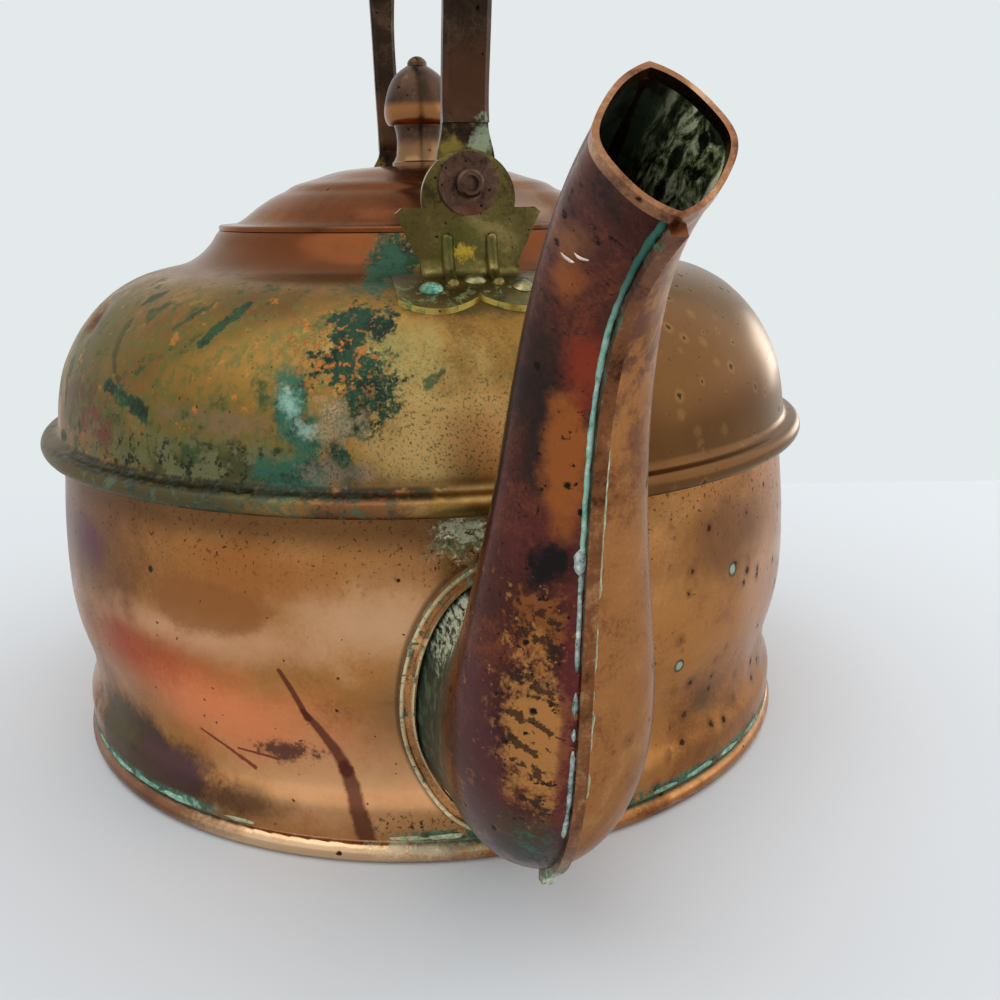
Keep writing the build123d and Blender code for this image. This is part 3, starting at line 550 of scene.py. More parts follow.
def domeFinish():
    coat = startFinish("dome bronze", "6a4c22", "88652e", "a07c42", 28, 0.42, (0.22, 0.4), 0.08)
    rightSide = angleBand(coat, 12, 175, 8)
    lay(coat, rightSide * 0.92, "5c3a1a", 0.28)
    lay(coat, angleBand(coat, -200, -104, 10) * 0.6, "6a4820", 0.3)
    layStainsAndPaintedLight(coat, domeStainsAndShading)
    leftSide = angleBand(coat, -95, -17, 9)
    layScraps(coat, leftSide, 0.12, 0.54, 0.64, "3e4a2a", 0.46)
    veil = leftSide * heightBand(coat, 108, 142, 4) * 0.75
    layScraps(coat, veil, 0.35, 0.47, 0.6, "5f6030", 0.42)
    layScraps(coat, veil, 0.2, 0.6, 0.68, "b8742e", 0.32)
    crackle = angleBand(coat, -66, -24, 5) * heightBand(coat, 96, 109, 3)
    layScraps(coat, crackle, 0.22, 0.46, 0.58, "6a6a46", 0.5, lift=0.03)
    layScraps(coat, crackle, 0.4, 0.52, 0.62, "2a2e20", 0.5, lift=-0.04)
    for start, end, widths, bow, strength in domeGreensAndSheen["streaks"]:
        mask = streak(coat, start, end, widths, bow, 0.9, 0.25)
        layVerdigris(coat, mask * strength, 0.9, 0.3, 0.1, ("0f2a1a", "1c4a2e", "3c6e4c"), 0.03, 0.85)
    for spot in domeGreensAndSheen["dark"]:
        layVerdigris(coat, ovalPatch(coat, *spot), 0.95, 0.4, 0.1, ("0a2216", "18402a", "3c6a4c"), 0.03, 0.85)
    for spot in domeGreensAndSheen["teal"]:
        layVerdigris(coat, ovalPatch(coat, *spot), 0.9, 0.3, 0.3, ("17382a", "2f6048", "70a088"), 0.05, 0.6)
    # painted highlight: pale sheen laid over the teal patch
    for spot in domeGreensAndSheen["paintedSheen"]:
        lay(coat, ovalPatch(coat, *spot) * 0.6, "a4c8b8", 0.4, 0.3, 0.03)
    beige = ovalPatch(coat, (-19.5, 114), (3.4, 5), 0.8, 0.25, 0.7, 0, 2.4)
    lay(coat, beige * 0.65, "a8906c", 0.4, 0.8)
    layScraps(coat, beige, 1.5, 0.5, 0.58, "5f6048", 0.45)
    pink = ovalPatch(coat, (-19, 103), (5, 3.4), 0.7, 0.2, 0.7, 0, 2.0)
    lay(coat, pink * 0.6, "8a7260", 0.4)
    layScraps(coat, pink, 1.5, 0.52, 0.6, "4a4634", 0.45)
    flakes = ovalPatch(coat, (-19.5, 129), (8, 11), 0.6, 0.12, 0.7, -20)
    layScraps(coat, flakes, 0.5, 0.54, 0.575, "90582a", 0.36, 1.0, -0.06)
    layPits(coat, 5.0, 0.17, 0.5, "3c2614", -0.05, angleBand(coat, 10, 170, 5), "7c5c30")
    speckled = angleBand(coat, -18, 12, 4) * heightBand(coat, 98, 132, 4)
    layScraps(coat, speckled, 1.5, 0.53, 0.63, "5f5832", 0.4)
    layPits(coat, 2.0, 0.17, 0.3, "4d3a1c", -0.02)
    brim = heightBand(coat, 90, 99.3, 0.8)
    lay(coat, brim * angleBand(coat, -110, -28, 6), "50482c", 0.38)
    lay(coat, brim * angleBand(coat, -22, -10, 3) * 0.6, "6a3428", 0.26)
    layVerdigris(coat, brim * angleBand(coat, -100, -12, 6), 0.5, 0.25, 0.2, ("22301f", "48583a", "8a8f5c"),
                 0.05)
    # painted shade in the groove above the brim, broken into scraps
    grooveShade = heightBand(coat, 97.4, 99.6, 0.5) * angleBand(coat, -70, -6, 4) * 0.85
    layScraps(coat, grooveShade, 0.25, 0.35, 0.5, "1c2014", 0.5)
    dent = ovalPatch(coat, (-74.7, 131.5), (3.2, 4.2), 0.2, 0.2, 0.4, -30)
    lay(coat, dent, "5a2414", 0.3)
    riser = heightBand(coat, 144, 160, 2)
    warm = mixColour(grainOf(coat, 0.05), "4c240e", "7a431c")
    lay(coat, riser * angleBand(coat, -175, -18, 4), warm, 0.24)
    lay(coat, riser * angleBand(coat, 8, 178, 4), warm, 0.24)
    byLug = ovalPatch(coat, (-16.5, 147.5), (4.6, 7), 0.5, 0.2, 0.4, 0, 1.0)
    layVerdigris(coat, byLug, 0.9, 0.3, 0.2, ("12301e", "24503a", "548466"), 0.05, 0.7)
    # painted shadow under the lug's foot on the dome
    shadeUnderLug = ovalPatch(coat, (0, 139), (13, 3.5), 0.5, 0.2, 0.6)
    lay(coat, shadeUnderLug * 0.7, "3c3a1c", 0.4)
    return closeFinish(coat, "e2d8cc", 0.16)


domePaint = domeFinish()
dress(domePaint, "shoulder_dome")


def baseFinish():
    coat = startFinish("foot copper", "7a4a26", "b07848", "d09c6c", 20, 0.3, (0.18, 0.34), 0.03)
    groove = heightBand(coat, 5.0, 9.5, 0.8)
    layVerdigris(coat, groove * angleBand(coat, -85, -36, 5), 0.95, 0.3, 0.7, thick=0.1)
    layVerdigris(coat, groove * angleBand(coat, -14, 60, 4), 0.75, 0.3, 0.5, thick=0.1)
    layVerdigris(coat, ovalPatch(coat, (-10, 5), (9, 4), 0.5, 0.2, 0.5), 0.7, 0.4, 0.8,
                 ("5a5a40", "8a9478", "c4ccb0"), 0.05)
    lay(coat, angleBand(coat, -90, -36, 6) * 0.7, "6a4a38", 0.36)
    # painted highlight: a pale gold patch on the front left of the foot ring
    wearAndHighlight = ovalPatch(coat, (-24, 2), (20, 5), 0.3, 0.1, 0.6)
    lay(coat, wearAndHighlight * 0.8, "e6c49c", 0.2)
    layPits(coat, 6.0, 0.12, 0.3, "3c2416")
    return closeFinish(coat)


dress(baseFinish(), "base_pan")


def lidFinish():
    coat = startFinish("lid chestnut", "4c2410", "6e3a18", "8e5426", 34, 0.2, (0.16, 0.28), 0.06)
    layPits(coat, 9.0, 0.1, 0.35, "2c1608", -0.03)
    grey = ovalPatch(coat, (25, 162), (12, 8), 0.5, 0.12, 0.8)
    lay(coat, grey * 0.5, "9a8c80", 0.34)
    return closeFinish(coat, "e4d8cc", 0.14)


dress(lidFinish(), "lid_shell", "lid_skirt")


# Spout: maroon and mottled on the left, golden brown on the right, green and pale inside the mouth, where painted
# shade makes it black deeper down and keeps the pale runs to the lit side
leftSpoutStains = [
    ("2a201c", 0.85, 0.36, (186, -10, 128), (12, 5, 22), 0.5, 0.2, 0.6),
    ("8e5a36", 0.85, 0.3, (197.3, -7.6, 157.8), (7, 3.8, 3.6), 0.35, 0.25, 0.9, 0, 0.8),
    ("985428", 0.85, 0.3, (195.5, -8.2, 151.5), (6, 3.0, 4.0), 0.35, 0.25, 0.9, 0, 0.8),
    ("8a3420", 0.85, 0.3, (190, -3.5, 138), (7, 3.5, 9), 0.4, 0.2, 0.7),
    ("9a5526", 0.9, 0.28, (184, -5, 122), (8, 4.0, 15), 0.4, 0.15, 0.5),
    ("5c2828", 0.55, 0.32, (178, -10, 106), (8, 5, 8), 0.5, 0.2, 0.6),
    ("8c5226", 0.8, 0.34, (178, -8.5, 90), (8, 5, 7), 0.9, 0.35, 0.4, 0, 1.6),
    ("141414", 0.95, 0.42, (180, -7.3, 102), (6, 4.6, 4.8), 0.6, 0.25, 0.6, 0, 0.8),
    ("b87c42", 0.9, 0.28, (175, -8, 66), (10, 6.5, 19), 0.6, 0.2, 0.5, 0, 1.0),
    ("4a3a24", 0.8, 0.36, (167, -9, 42), (14, 9, 9), 0.7, 0.2, 0.6),
    ("23282a", 0.7, 0.36, (165, -8, 34), (12, 9, 6), 0.7, 0.2, 0.6),
]
spoutRuns = [
    ((-13, 72), (-3.5, 67), (0.8, 0.4)),
    ((-12, 80), (-5.5, 76), (1.3, 0.8)),
    ((-11, 89), (-5, 85), (1.4, 0.9)),
    ((-11.5, 62), (-7, 57.5), (0.6, 1.1)),
    ((-8, 57), (-3.5, 56), (0.4, 0.3)),
    ((-9.5, 76), (-4, 74), (0.5, 0.4)),
    ((-12, 66), (-8, 63), (0.9, 0.4)),
    ((-8, 93), (-5, 90), (0.9, 0.6)),
    ((-10, 53), (-6, 50), (0.6, 0.9)),
]


def layMouth(coat, side):
    turn = part(coat, 1, "facing")
    inside = ramp(turn * side, 0.03, -0.03)
    stretched = coat["place"] * (0.16, 0.9, 0.16)
    runs = cloud(stretched, 1.0, 6, 0.7, 0.6)
    # painted shade: near black inside, with pale green runs only on the lit right side
    deep = mixColour(ramp(grainOf(coat, 0.2), 0.4, 0.6), "0a0c08", "2c3a28")
    lit = ramp(part(coat, 1, "place"), 1.5, 9.0)
    green = mixColour(ramp(runs, 0.44, 0.54) * lit, deep, "a4b47c")
    lining = mixColour(ramp(runs, 0.52, 0.59) * lit, green, "ffffe0")
    # painted shade: black deeper down the spout, below the mouth
    top = ramp(part(coat, 2, "place"), 140, 156)
    shadedLining = mixColour(top, "14120e", lining)
    lay(coat, inside, shadedLining, 0.6, 0.1)


def leftSpoutFinish():
    coat = startFinish("spout maroon", "2a1713", "4e261e", "743c28", 16, 0.5, (0.2, 0.36), 0.08)
    layStainsAndPaintedLight(coat, leftSpoutStains)
    coat["wall"] = join(part(coat, 1, "place"), part(coat, 2, "place"))
    layScraps(coat, 1.0, 0.5, 0.6, 0.66, "241614", 0.4)
    lower = band(part(coat, 2, "place"), 44, 100, 6)
    layScraps(coat, lower, 0.35, 0.6, 0.66, "a06a34", 0.32)
    for start, end, widths in spoutRuns:
        run = streak(coat, start, end, widths, 0.4, 2.6, 0.6, across=1)
        lay(coat, run * 0.85, "2c1e18", 0.4)
    stripe = ovalPatch(coat, (178, -3.0, 70), (40, 1.7, 34), 0.5, 0.3, 0.6, 0, 1.0)
    lay(coat, stripe * 0.7, "64282a", 0.3)
    layPits(coat, 4.0, 0.2, 0.4, "1c1210", -0.04)
    edge = ovalPatch(coat, (166, -17, 58), (12, 4.5, 24), 0.4, 0.15, 0.5)
    lay(coat, edge * 0.6, "5e3436", 0.34)
    byTab = ovalPatch(coat, (166, -5, 38), (8, 6, 12), 0.6, 0.25, 0.5, 0, 1.2)
    layVerdigris(coat, byTab, 0.55, 0.5, 0.4, ("16302a", "2a5a48", "8cb09c"), 0.08, 0.5)
    root = ramp(part(coat, 0, "place"), 158, 142)
    brushed = ramp(cloud(coat["place"] * (0.2, 0.9, 0.25), 1, 5, 0.7), 0.5, 0.62)
    lay(coat, root, mixColour(brushed, "1c3026", "4a6248"), 0.5, 0.5)
    strokes = ovalPatch(coat, (124, -16, 72), (14, 12, 12), 0.6, 0.3, 0.6, 0, 1.2)
    pale = ramp(cloud(coat["place"] * (0.3, 1.4, 0.5), 1, 5, 0.7), 0.44, 0.54)
    lay(coat, strokes * pale, "c4ccb0", 0.5, 0.3)
    layMouth(coat, -1)
    return closeFinish(coat, "f2ecea", 0.14)


def rightSpoutFinish():
    coat = startFinish("spout golden", "704020", "a46c3c", "bc8a58", 24, 0.35, (0.18, 0.32), 0.08)
    layPits(coat, 7.0, 0.16, 0.45, "4a2818", -0.05, 1.0, "7c4c2c")
    layScraps(coat, ramp(part(coat, 2, "place"), 100, 140), 0.15, 0.45, 0.6, "6a4032", 0.3)
    layMouth(coat, 1)
    return closeFinish(coat, "e0d2c6", 0.14)


dress(leftSpoutFinish(), "spout_left_half")
dress(rightSpoutFinish(), "spout_right_half")


def seamFinish():
    coat = startFinish("seam fold", "44281a", "7a4c30", "a87850", 10, 0.4, (0.25, 0.4), 0.02)
    layVerdigris(coat, ramp(part(coat, 1, "place"), -0.9, -1.15), 0.4, 0.4, 0.6, thick=0.05)
    tab = ramp(part(coat, 2, "place"), 34, 24)
    layVerdigris(coat, tab, 0.7, 0.5, 0.9, ("3c5a44", "8aa486", "d0d4b8"), 0.06)
    return closeFinish(coat)


def rimFinish():
    coat = startFinish("mouth rim", "5a3828", "94684a", "c49c7a", 9, 0.4, (0.22, 0.36), 0.02)
    layPits(coat, 4.0, 0.16, 0.4, "2c1a12", -0.03)
    return closeFinish(coat)


def collarFinish(shape):
    coat = startFinish("root collar", "74492a", "b07a4c", "cc9c68", 8, 0.4, (0.2, 0.36), 0.02)
    ring = rootRing(coat, shape)
    for low, high in shape["lips"]:
        lip = band(ring, low, high, 0.012)
        lay(coat, lip * 0.8, "dcd2a8", 0.28)
        layVerdigris(coat, lip * 0.7, 0.35, 0.5, 0.9, ("3a5040", "8aa080", "e0e4c8"), 0.04)
    layVerdigris(coat, 1.0, 0.42, 0.4, 0.5, ("2c4836", "5a7c60", "b0c4a4"), 0.03)
    return closeFinish(coat)


dress(seamFinish(), "spout_front_seam", "spout_back_seam")
dress(rimFinish(), "spout_rim")
dress(collarFinish(collarShape), "spout_collar")


# Lugs, rivets and washers
def lugFinish():
    coat = startFinish("lug brass", "3c3420", "60552f", "857548", 8, 0.4, (0.26, 0.42), 0.03)
    green = ovalPatch(coat, (83, -2, 152), (8, 9, 7), 0.6, 0.2, 0.7)
    lay(coat, green * 0.5, "4c5826", 0.4)
    sideways = combine("ABSOLUTE", part(coat, 0, "facing"))
    level = combine("ABSOLUTE", part(coat, 2, "facing"))
    plate = heightBand(coat, 146, 200, 1.5)
    # painted highlight: paler brass on the plate's edges and ridges, chosen by which way the faces turn
    lay(coat, ramp(sideways, 0.6, 0.25) * plate * 0.75, "a89c6a", 0.32)
    foot = heightBand(coat, 120, 143, 1.5)
    # painted highlight: paler brass on the foot's ribs and upright faces
    lay(coat, ramp(level, 0.6, 0.3) * foot * 0.85, "b39c4e", 0.3)
    layVerdigris(coat, foot, 0.42, 0.35, 0.5, ("3a4420", "5c7038", "a8b878"), 0.03)
    yellow = ovalPatch(coat, (80, -1.2, 150.3), (5, 2.8, 2.2), 0.6, 0.5, 0.5, 0, 1.0)
    lay(coat, yellow, "b89a28", 0.45, 0.5)
    layPits(coat, 2.4, 0.18, 0.4, "2c2a16", -0.04)
    return closeFinish(coat)


def rivetFinish():
    coat = startFinish("foot rivet brass", "5a5436", "8c8660", "b4ae84", 5, 0.3, (0.26, 0.4), 0.02)
    turquoise = ovalPatch(coat, (90, -11.5, 140), (5, 4, 5), 0.4, 0.5, 0.4)
    layVerdigris(coat, turquoise, 0.8, 0.5, 0.8, ("2a5a48", "5a9a82", "a8d0bc"), 0.06)
    return closeFinish(coat)


def washerFinish():
    coat = startFinish("washer brown", "382820", "564034", "765c4c", 5, 0.4, (0.3, 0.44), 0.02)
    red = ovalPatch(coat, (83, 2, 158), (6, 6, 4), 0.5, 0.3, 0.6)
    lay(coat, red * 0.7, "6e3e30", 0.36)
    layPits(coat, 2.0, 0.2, 0.4, "1c1412", -0.03)
    return closeFinish(coat)


dress(lugFinish(), "front_lug", "rear_lug")
dress(rivetFinish(), "lug_foot_rivets")
dress(washerFinish(), "pivot_washers", "pivot_rivets")


def handleFinish():
    coat = startFinish("handle patina", "1a1512", "33281f", "564234", 14, 0.35, (0.28, 0.44), 0.05)
    for side in (-1, 1):
        rust = ovalPatch(coat, (side * 80, 0, 190), (12, 12, 12), 0.6, 0.15, 0.7)
        lay(coat, rust * 0.8, "56392a", 0.42)
        yellow = ovalPatch(coat, (side * 80, -4, 174), (8, 4, 6), 0.5, 0.3, 0.5)
        lay(coat, yellow * 0.8, "8c7a3a", 0.45)
        pale = ovalPatch(coat, (side * 80, 4, 176), (8, 3, 6), 0.6, 0.3, 0.5, 0, 1.2)
        lay(coat, pale, "8a9478", 0.5, 0.5)
    layPits(coat, 3.0, 0.18, 0.4, "120d0b", -0.04)
    return closeFinish(coat)


dress(handleFinish(), "bail_handle")


def knobFinish():
    coat = startFinish("knob brown", "2c2018", "4a382c", "664e3c", 10, 0.3, (0.24, 0.4), 0.03)
    # painted highlight: a lighter band along the lower edge of the cap
    lay(coat, heightBand(coat, 185.5, 191, 1.2) * 0.85, "94643c", 0.26)
    lay(coat, heightBand(coat, 160, 180, 2.0) * 0.75, "8c6a48", 0.28)
    lay(coat, heightBand(coat, 157, 166, 1.0) * 0.7, "94683e", 0.26)
    layPits(coat, 3.0, 0.16, 0.4, "1e1610", -0.03)
    return closeFinish(coat)


dress(knobFinish(), "knob_stem", "knob_cap", "knob_finial", "knob_stud", "knob_rove")
print("kettle nodes dressed")


# Crusts and nicks that stand proud of the copper
crustLook = {
    "turquoise": ("32584a", "7aa48e", "bcd6c6"),
    "pale": ("6f7a54", "a3a882", "d6d6bc"),
    "solder": ("4c4c34", "a0a284", "ecead8"),
    "chalk": ("26403a", "8fa29a", "e6eae2"),
}


def crustFinish(name, tones, high=None):
    coat = startFinish(name, tones[0], tones[1], tones[2], 3.0, 0.5, (0.6, 0.8), 0.0, 0.0)
    if high:
        lay(coat, ramp(part(coat, 2, "place"), 141, 154), high)
    coat["metal"] = 0.0
    coat["height"] = grainOf(coat, 1.5) * 0.2
    return closeFinish(coat)


crustPaints = {name: crustFinish("crust " + name, tones) for name, tones in crustLook.items()}
crustPaints["seam"] = crustFinish("crust seam", ("4c8c78", "8cb8a6", "b8d8ca"), "1e5a4a")


def gather(points, faces, newPoints, newFaces):
    faces.extend(tuple(len(points) + i for i in face) for face in newFaces)
    points.extend(newPoints)


def skinOf(*nodeNames):
    points, faces = [], []
    for name in nodeNames:
        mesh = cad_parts[name].data
        corners = [corner.co.copy() for corner in mesh.vertices]
        gather(points, faces, corners, [face.vertices for face in mesh.polygons])
    return BVHTree.FromPolygons(points, faces)


spoutSkin = skinOf("spout_left_half", "spout_right_half")
kettleSkin = skinOf("body_shell", "base_pan", "shoulder_dome")
castFrom = {"spout": 0.3, "wall": 0.15}  # metres from the axis, clear of the copper


def onSpout(y, z):
    place, out, _, _ = spoutSkin.ray_cast(Vector((castFrom["spout"], y * mm, z * mm)), Vector((-1, 0, 0)))
    return place, out


def addPiece(name, points, faces, paint):
    mesh = bpy.data.meshes.new(name)
    mesh.from_pydata(points, [], faces)
    mesh.shade_smooth()
    mesh.materials.append(paint)
    piece = bpy.data.objects.new(name, mesh)
    bpy.context.scene.collection.objects.link(piece)
    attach(piece, "kettle")
    return piece


# A lumpy bead along a line of places, given with the way out of the metal at each
beadShape = {"sides": 7, "lumps": 0.4, "lumpSize": 2.2, "lumpTurn": 1.1}


def lumpyBead(line, sizes, seed, shape=beadShape):
    points, faces = [], []
    sides = shape["sides"]
    for index, ((place, out), size) in enumerate(zip(line, sizes)):
        ahead = line[min(index + 1, len(line) - 1)][0] - line[max(index - 1, 0)][0]
        aside = ahead.cross(out).normalized()
        for step in range(sides):
            turn = 2 * math.pi * step / sides
            spoke = aside * math.cos(turn) + out * math.sin(turn)
            where = place / (shape["lumpSize"] * mm) + spoke * shape["lumpTurn"] + Vector((seed, 0, 0))
            points.append(place + spoke * size * (1 + shape["lumps"] * noise.noise(where)))
        if index:
            first = len(points) - 2 * sides
            for step in range(sides):
                after = (step + 1) % sides
                faces.append((first + step, first + after, first + sides + after, first + sides + step))
    faces.append(tuple(range(sides))[::-1])
    faces.append(tuple(range(len(points) - sides, len(points))))
    return points, faces


# Beads of crust beside the front seam. Below the bend they are patchier. Lengths are in millimetres
seamShape = {
    "halfWidth": 1.2, "step": 0.7, "bend": 97,
    "gapWave": 0.22, "coverAbove": 0.42, "coverBelow": 0.16,
    "driftWave": 0.13, "driftAbove": 0.35, "driftBelow": (0.8, 0.6, 0.2), "ends": [0.25, 0.7],
}
seamCrust = {
    "teal": dict(side=-1.0, low=103.0, high=163.0, off=0.4, radius=0.5, thin=0.3, broken=-1.0, seed=3),
    "drop": dict(side=-1.0, low=100.0, high=105.5, off=0.7, radius=0.95, thin=0.5, broken=-1.0, seed=5),
    "chalk": dict(side=-1.0, low=42.0, high=101.0, off=0.45, radius=0.55, thin=0.2, broken=0.48, seed=11),
    "paleLine": dict(side=1.0, low=52.0, high=124.0, off=0.5, radius=0.42, thin=0.2, broken=0.55, seed=8),
}
seamPaint = {"teal": "seam", "drop": "chalk", "chalk": "chalk", "paleLine": "pale"}


def seamLine(shape, side, low, high, off, radius, thin, broken, seed):
    draw = random.Random(seed)
    points, faces, line, sizes = [], [], [], []

    def flush():
        if len(line) > 3:
            ends = shape["ends"] + [1.0] * (len(line) - 4) + shape["ends"][::-1]
            gather(points, faces, *lumpyBead(line, [size * end for size, end in zip(sizes, ends)], seed))
        line.clear()
        sizes.clear()

    height = high
    while height > low:
        place, out = onSpout(side * (shape["halfWidth"] + off), height)
        lower = height < shape["bend"]
        cover = shape["coverBelow" if lower else "coverAbove"]
        gap = noise.noise(Vector((height * shape["gapWave"], seed, 0))) + cover
        if place is None or gap < broken - 0.5:
            flush()
        else:
            drift = noise.noise(Vector((height * shape["driftWave"], 0, seed)))
            wide = radius * (1 + shape["driftAbove"] * drift)
            if lower:
                least, wave, chance = shape["driftBelow"]
                wide = radius * (least + wave * drift + chance * draw.random())
            line.append((place, out))
            sizes.append(max(wide, thin) * mm)
        height -= shape["step"]
    flush()
    return points, faces


for name, settings in seamCrust.items():
    addPiece("seam_crust_" + name, *seamLine(seamShape, **settings), crustPaints[seamPaint[name]])


# Low crumbly patches on the wall of the kettle: degrees, height, half width in degrees and half height
wallCrusts = {
    "solder": [(-5.6, 88.6, 1.6, 1.5), (-4.6, 86.4, 1.2, 1.3), (-3.6, 89.6, 1.5, 1.1), (-6.6, 90.2, 0.9, 0.8),
               (-2.9, 87.6, 0.7, 1.5)],
    "turquoise": [(-70, 7.4, 3.0, 1.1), (-62, 7.2, 5.0, 1.2), (-54, 7.4, 3.6, 1.0), (-47, 7.3, 4.0, 1.3),
                  (24, 7.3, 3.0, 0.9), (31, 7.4, 4.0, 1.0), (39, 7.3, 3.0, 1.0), (48, 7.4, 4.0, 0.9)],
    "pale": [(-13, 7.2, 3.0, 1.0), (-8, 7.4, 2.4, 1.1), (-36, 7.3, 2.6, 0.8)],
}
patchShape = {
    "thick": 0.35, "sunk": 0.08, "rings": 4, "spokes": 18,
    "ragged": 0.45, "raggedWave": 1.7, "even": 0.8, "lumps": 0.6, "lumpWaves": (90, 900, 3.1),
}


def crustPatch(shape, angle, height, wide, tall, seed):
    points, faces = [], []
    spokes = shape["spokes"]
    aroundWave, heightWave, seedWave = shape["lumpWaves"]
    for ring in range(shape["rings"] + 1):
        share = ring / shape["rings"]
        for step in range(spokes):
            turn = 2 * math.pi * step / spokes
            border = Vector((math.cos(turn) * shape["raggedWave"], math.sin(turn) * shape["raggedWave"], seed))
            ragged = 1 + shape["ragged"] * noise.noise(border)
            at = math.radians(angle + wide * share * ragged * math.cos(turn))
            level = (height + tall * share * ragged * math.sin(turn)) * mm
            way = Vector((math.cos(at), math.sin(at), 0))
            place, out, _, _ = kettleSkin.ray_cast(way * castFrom["wall"] + Vector((0, 0, level)), -way)
            lump = noise.noise(Vector((at * aroundWave, level * heightWave, seed * seedWave)))
            rise = shape["thick"] * (1 - share ** 2) * (shape["even"] + shape["lumps"] * lump) - shape["sunk"]
            points.append(place + out * rise * mm)
        if ring:
            first = (ring - 1) * spokes
            for step in range(spokes):
                after = (step + 1) % spokes
                faces.append((first + step, first + spokes + step, first + spokes + after, first + after))
    faces.append(tuple(range(spokes)))
    return points, faces


for name, patches in wallCrusts.items():
    allPoints, allFaces = [], []
    for number, patch in enumerate(patches):
        gather(allPoints, allFaces, *crustPatch(patchShape, *patch, seed=number * 2.7 + len(name)))
    addPiece("wall_crust_" + name, allPoints, allFaces, crustPaints[name])


# The shoulder dome again, with the dent it has on its left
domeShape = {
    "curve": [(114.6, 100.6), (114.1, 105.0), (113.2, 110.0), (111.6, 116.0), (109.3, 121.0), (106.4, 126.0),
              (103.0, 130.4), (99.2, 134.3), (95.1, 137.6), (90.6, 140.2), (86.1, 142.1), (81.5, 143.3),
              (77.5, 144.1), (73.2, 145.4), (69.4, 147.6), (66.0, 150.7), (64.0, 153.6)],
    "wall": 1.2,
    "lap": [(113.4, 93.4), (114.3, 93.4)],
    "bead": (117.25, 95.4, 2.75),
    "beadTurns": (-155, 90),
    "beadSteps": 18,
    "hollow": (115.35, 98.9),
    "hollowSteps": 6,
    "lip": [(63.2, 154.5), (62.7, 155.0), (58.9, 155.0), (58.9, 149.0), (60.1, 149.0), (60.1, 153.8)],
    "lapTop": (113.4, 99.2),
    "segments": 288,
    "sharp": 35,
}
dentShape = {
    "angle": -74.7, "height": 131.5, "lean": 40, "long": 6.0, "short": 3.6, "depth": 1.7, "slope": 44,
    "radius": 100, "above": 110,
}


def smoothRun(points, steps):
    run = []
    for index in range(len(points) - 1):
        a, b, c, d = (Vector(points[min(max(index + k, 0), len(points) - 1)]) for k in (-1, 0, 1, 2))
        for step in range(steps):
            t = step / steps
            run.append(0.5 * (2 * b + (c - a) * t + (2 * a - 5 * b + 4 * c - d) * t * t
                              + (3 * b - a - 3 * c + d) * t ** 3))
    return run + [Vector(points[-1])]


def bowed(start, middle, end, share):
    return start * (1 - share) ** 2 + middle * 2 * share * (1 - share) + end * share ** 2


def domeProfile(shape):
    x, z, radius = shape["bead"]
    low, high = shape["beadTurns"]
    outline = [Vector(corner) for corner in shape["lap"]]
    for step in range(shape["beadSteps"] + 1):
        turn = math.radians(low + (high - low) * step / shape["beadSteps"])
        outline.append(Vector((x + radius * math.cos(turn), z + radius * math.sin(turn))))
    top, start = outline[-1], Vector(shape["curve"][0])
    pull = 2 * Vector(shape["hollow"]) - (top + start) / 2
    for step in range(1, shape["hollowSteps"]):
        outline.append(bowed(top, pull, start, step / shape["hollowSteps"]))
    outer = smoothRun(shape["curve"], 3)
    inner = []
    for index, point in enumerate(outer):
        way = (outer[min(index + 1, len(outer) - 1)] - outer[max(index - 1, 0)]).normalized()
        inner.append(point + Vector((-way.y, way.x)) * shape["wall"])
    return outline + outer + [Vector(corner) for corner in shape["lip"]] + inner[::-3] + [Vector(shape["lapTop"])]


def dentDepth(angle, height, dent):
    aside = math.radians(angle - dent["angle"]) * dent["radius"]
    upward = (height - dent["height"]) / math.cos(math.radians(dent["slope"]))
    lean = math.radians(dent["lean"])
    along = upward * math.cos(lean) - aside * math.sin(lean)
    across = aside * math.cos(lean) + upward * math.sin(lean)
    return dent["depth"] * math.exp(-(along / dent["long"]) ** 2 - (across / dent["short"]) ** 2)


def spinDome(shape, dent, paint):
    profile = domeProfile(shape)
    count = len(profile)
    slope = math.radians(dent["slope"])
    points, faces = [], []
    for segment in range(shape["segments"]):
        angle = -180 + 360 * segment / shape["segments"]
        turn = math.radians(angle)
        for point in profile:
            depth = dentDepth(angle, point.y, dent) if point.y > dent["above"] else 0
            radius = point.x - depth * math.sin(slope)
            height = point.y - depth * math.cos(slope)
            points.append(Vector((radius * math.cos(turn), radius * math.sin(turn), height)) * mm)
        here, after = segment * count, (segment + 1) % shape["segments"] * count
        for index in range(count):
            near = (index + 1) % count
            faces.append((here + index, after + index, after + near, here + near))
    piece = addPiece("dented_dome", points, faces, paint)
    piece.data.set_sharp_from_angle(angle=math.radians(shape["sharp"]))
    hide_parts("shoulder_dome")


spinDome(domeShape, dentShape, domePaint)


# Two bright burrs knocked up on the spout, each on a bowed line through sideways places and heights
burrs = [((-9.4, 155.6), (-8.6, 154.4), (-7.9, 154.2)), ((-8.2, 155.6), (-7.5, 154.6), (-6.6, 154.6))]
burrShape = {"steps": 8, "radius": 0.34, "seed": 5.5, "taper": (0.08, 0.84)}


def knockBurrs(places, shape, paint):
    points, faces = [], []
    shares = [step / shape["steps"] for step in range(shape["steps"] + 1)]
    tip, swell = shape["taper"]
    sizes = [shape["radius"] * mm * math.sin(math.pi * (tip + swell * share)) for share in shares]
    for ends in places:
        line = [onSpout(*(bowed(*axis, share) for axis in zip(*ends))) for share in shares]
        gather(points, faces, *lumpyBead(line, sizes, shape["seed"]))
    addPiece("spout_burrs", points, faces, paint)


burrCopper = startFinish("burr", "a89486", "cfc2b6", "efe8e0", 2.0, 0.3, (0.25, 0.4), 0.0, 0.0)
knockBurrs(burrs, burrShape, closeFinish(burrCopper))
print("crusts and burrs added")


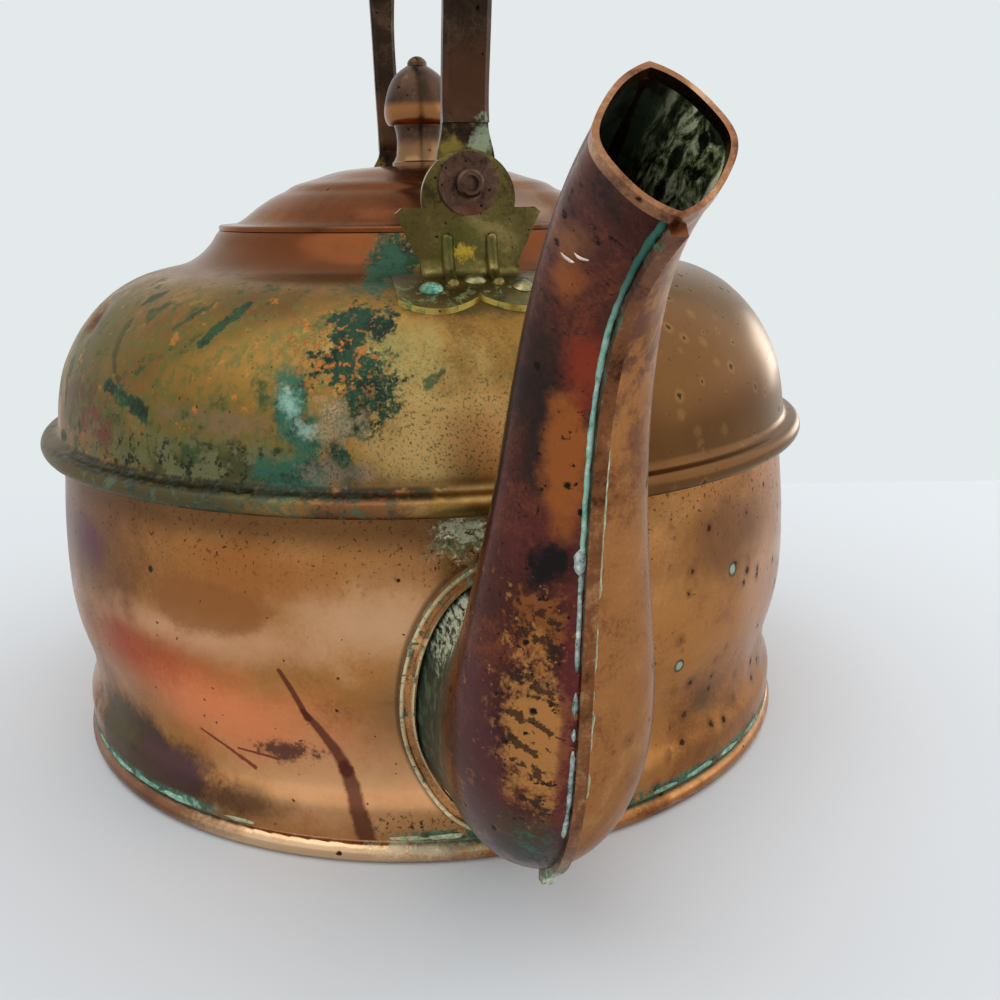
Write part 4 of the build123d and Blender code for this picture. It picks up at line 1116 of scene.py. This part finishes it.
# Stage: pale floor that ends where the wall of the photograph starts, and the wall's colour in the world
stageLook = {
    "floorEnds": 0.601,  # metres ahead of the camera
    "floorReach": 3.0,
    "floorDrop": 0.0002,
    "floorColour": "d3d8dc",
    "floorRough": 0.9,
    "wallColour": "e4eaeb",
    "worldStrength": 0.9,
}


def buildStage(look, eye, ahead):
    aside = Vector((ahead.y, -ahead.x, 0)) * look["floorReach"]
    far = Vector((eye[0], eye[1], 0)) + ahead * look["floorEnds"]
    near = far - ahead * 2 * look["floorReach"]
    corners = [far - aside, far + aside, near + aside, near - aside]
    mesh = bpy.data.meshes.new("floor")
    mesh.from_pydata([(c.x, c.y, -look["floorDrop"]) for c in corners], [], [(3, 2, 1, 0)])
    floor = bpy.data.objects.new("floor", mesh)
    bpy.context.scene.collection.objects.link(floor)
    material = bpy.data.materials.new("floor paper")
    material.use_nodes = True
    shader = material.node_tree.nodes["Principled BSDF"]
    feed(shader.inputs["Base Color"], look["floorColour"])
    feed(shader.inputs["Roughness"], look["floorRough"])
    mesh.materials.append(material)
    world = bpy.data.worlds.new("studio")
    bpy.context.scene.world = world
    world.use_nodes = True
    tree = world.node_tree
    tree.nodes.clear()
    light = wired(tree, "Background", {"Color": (1, 1, 1, 1), "Strength": look["worldStrength"]})
    wall = wired(tree, "Background", {"Color": look["wallColour"]})
    seen = Wire(addNode(tree, "LightPath").outputs["Is Camera Ray"])
    feed(addNode(tree, "OutputWorld").inputs[0], wired(tree, "MixShader", {0: seen, 1: light, 2: wall}))


lampsAimAt = (0, 0, 0.1)
lamps = {
    "window": dict(place=(0.05, 1.3, 1.0), size=1.9, power=8.0),
    "fill": dict(place=(0.35, -0.5, 1.5), size=1.6, power=7.0),
    "edge": dict(place=(-1.1, 1.35, 0.18), size=0.4, power=2.2),
}


def hangLamp(name, place, size, power):
    light = bpy.data.lights.new(name, "AREA")
    light.shape = "SQUARE"
    light.size = size
    light.energy = power
    lamp = bpy.data.objects.new(name, light)
    lamp.location = place
    lamp.rotation_euler = (Vector(lampsAimAt) - Vector(place)).to_track_quat("-Z", "Y").to_euler()
    bpy.context.scene.collection.objects.link(lamp)


buildStage(stageLook, cameraView["eye"], lookAlong)
for lampName, lampSettings in lamps.items():
    hangLamp(lampName, **lampSettings)
bpy.context.scene.view_settings.view_transform = "Standard"
print("stage and lamps set")
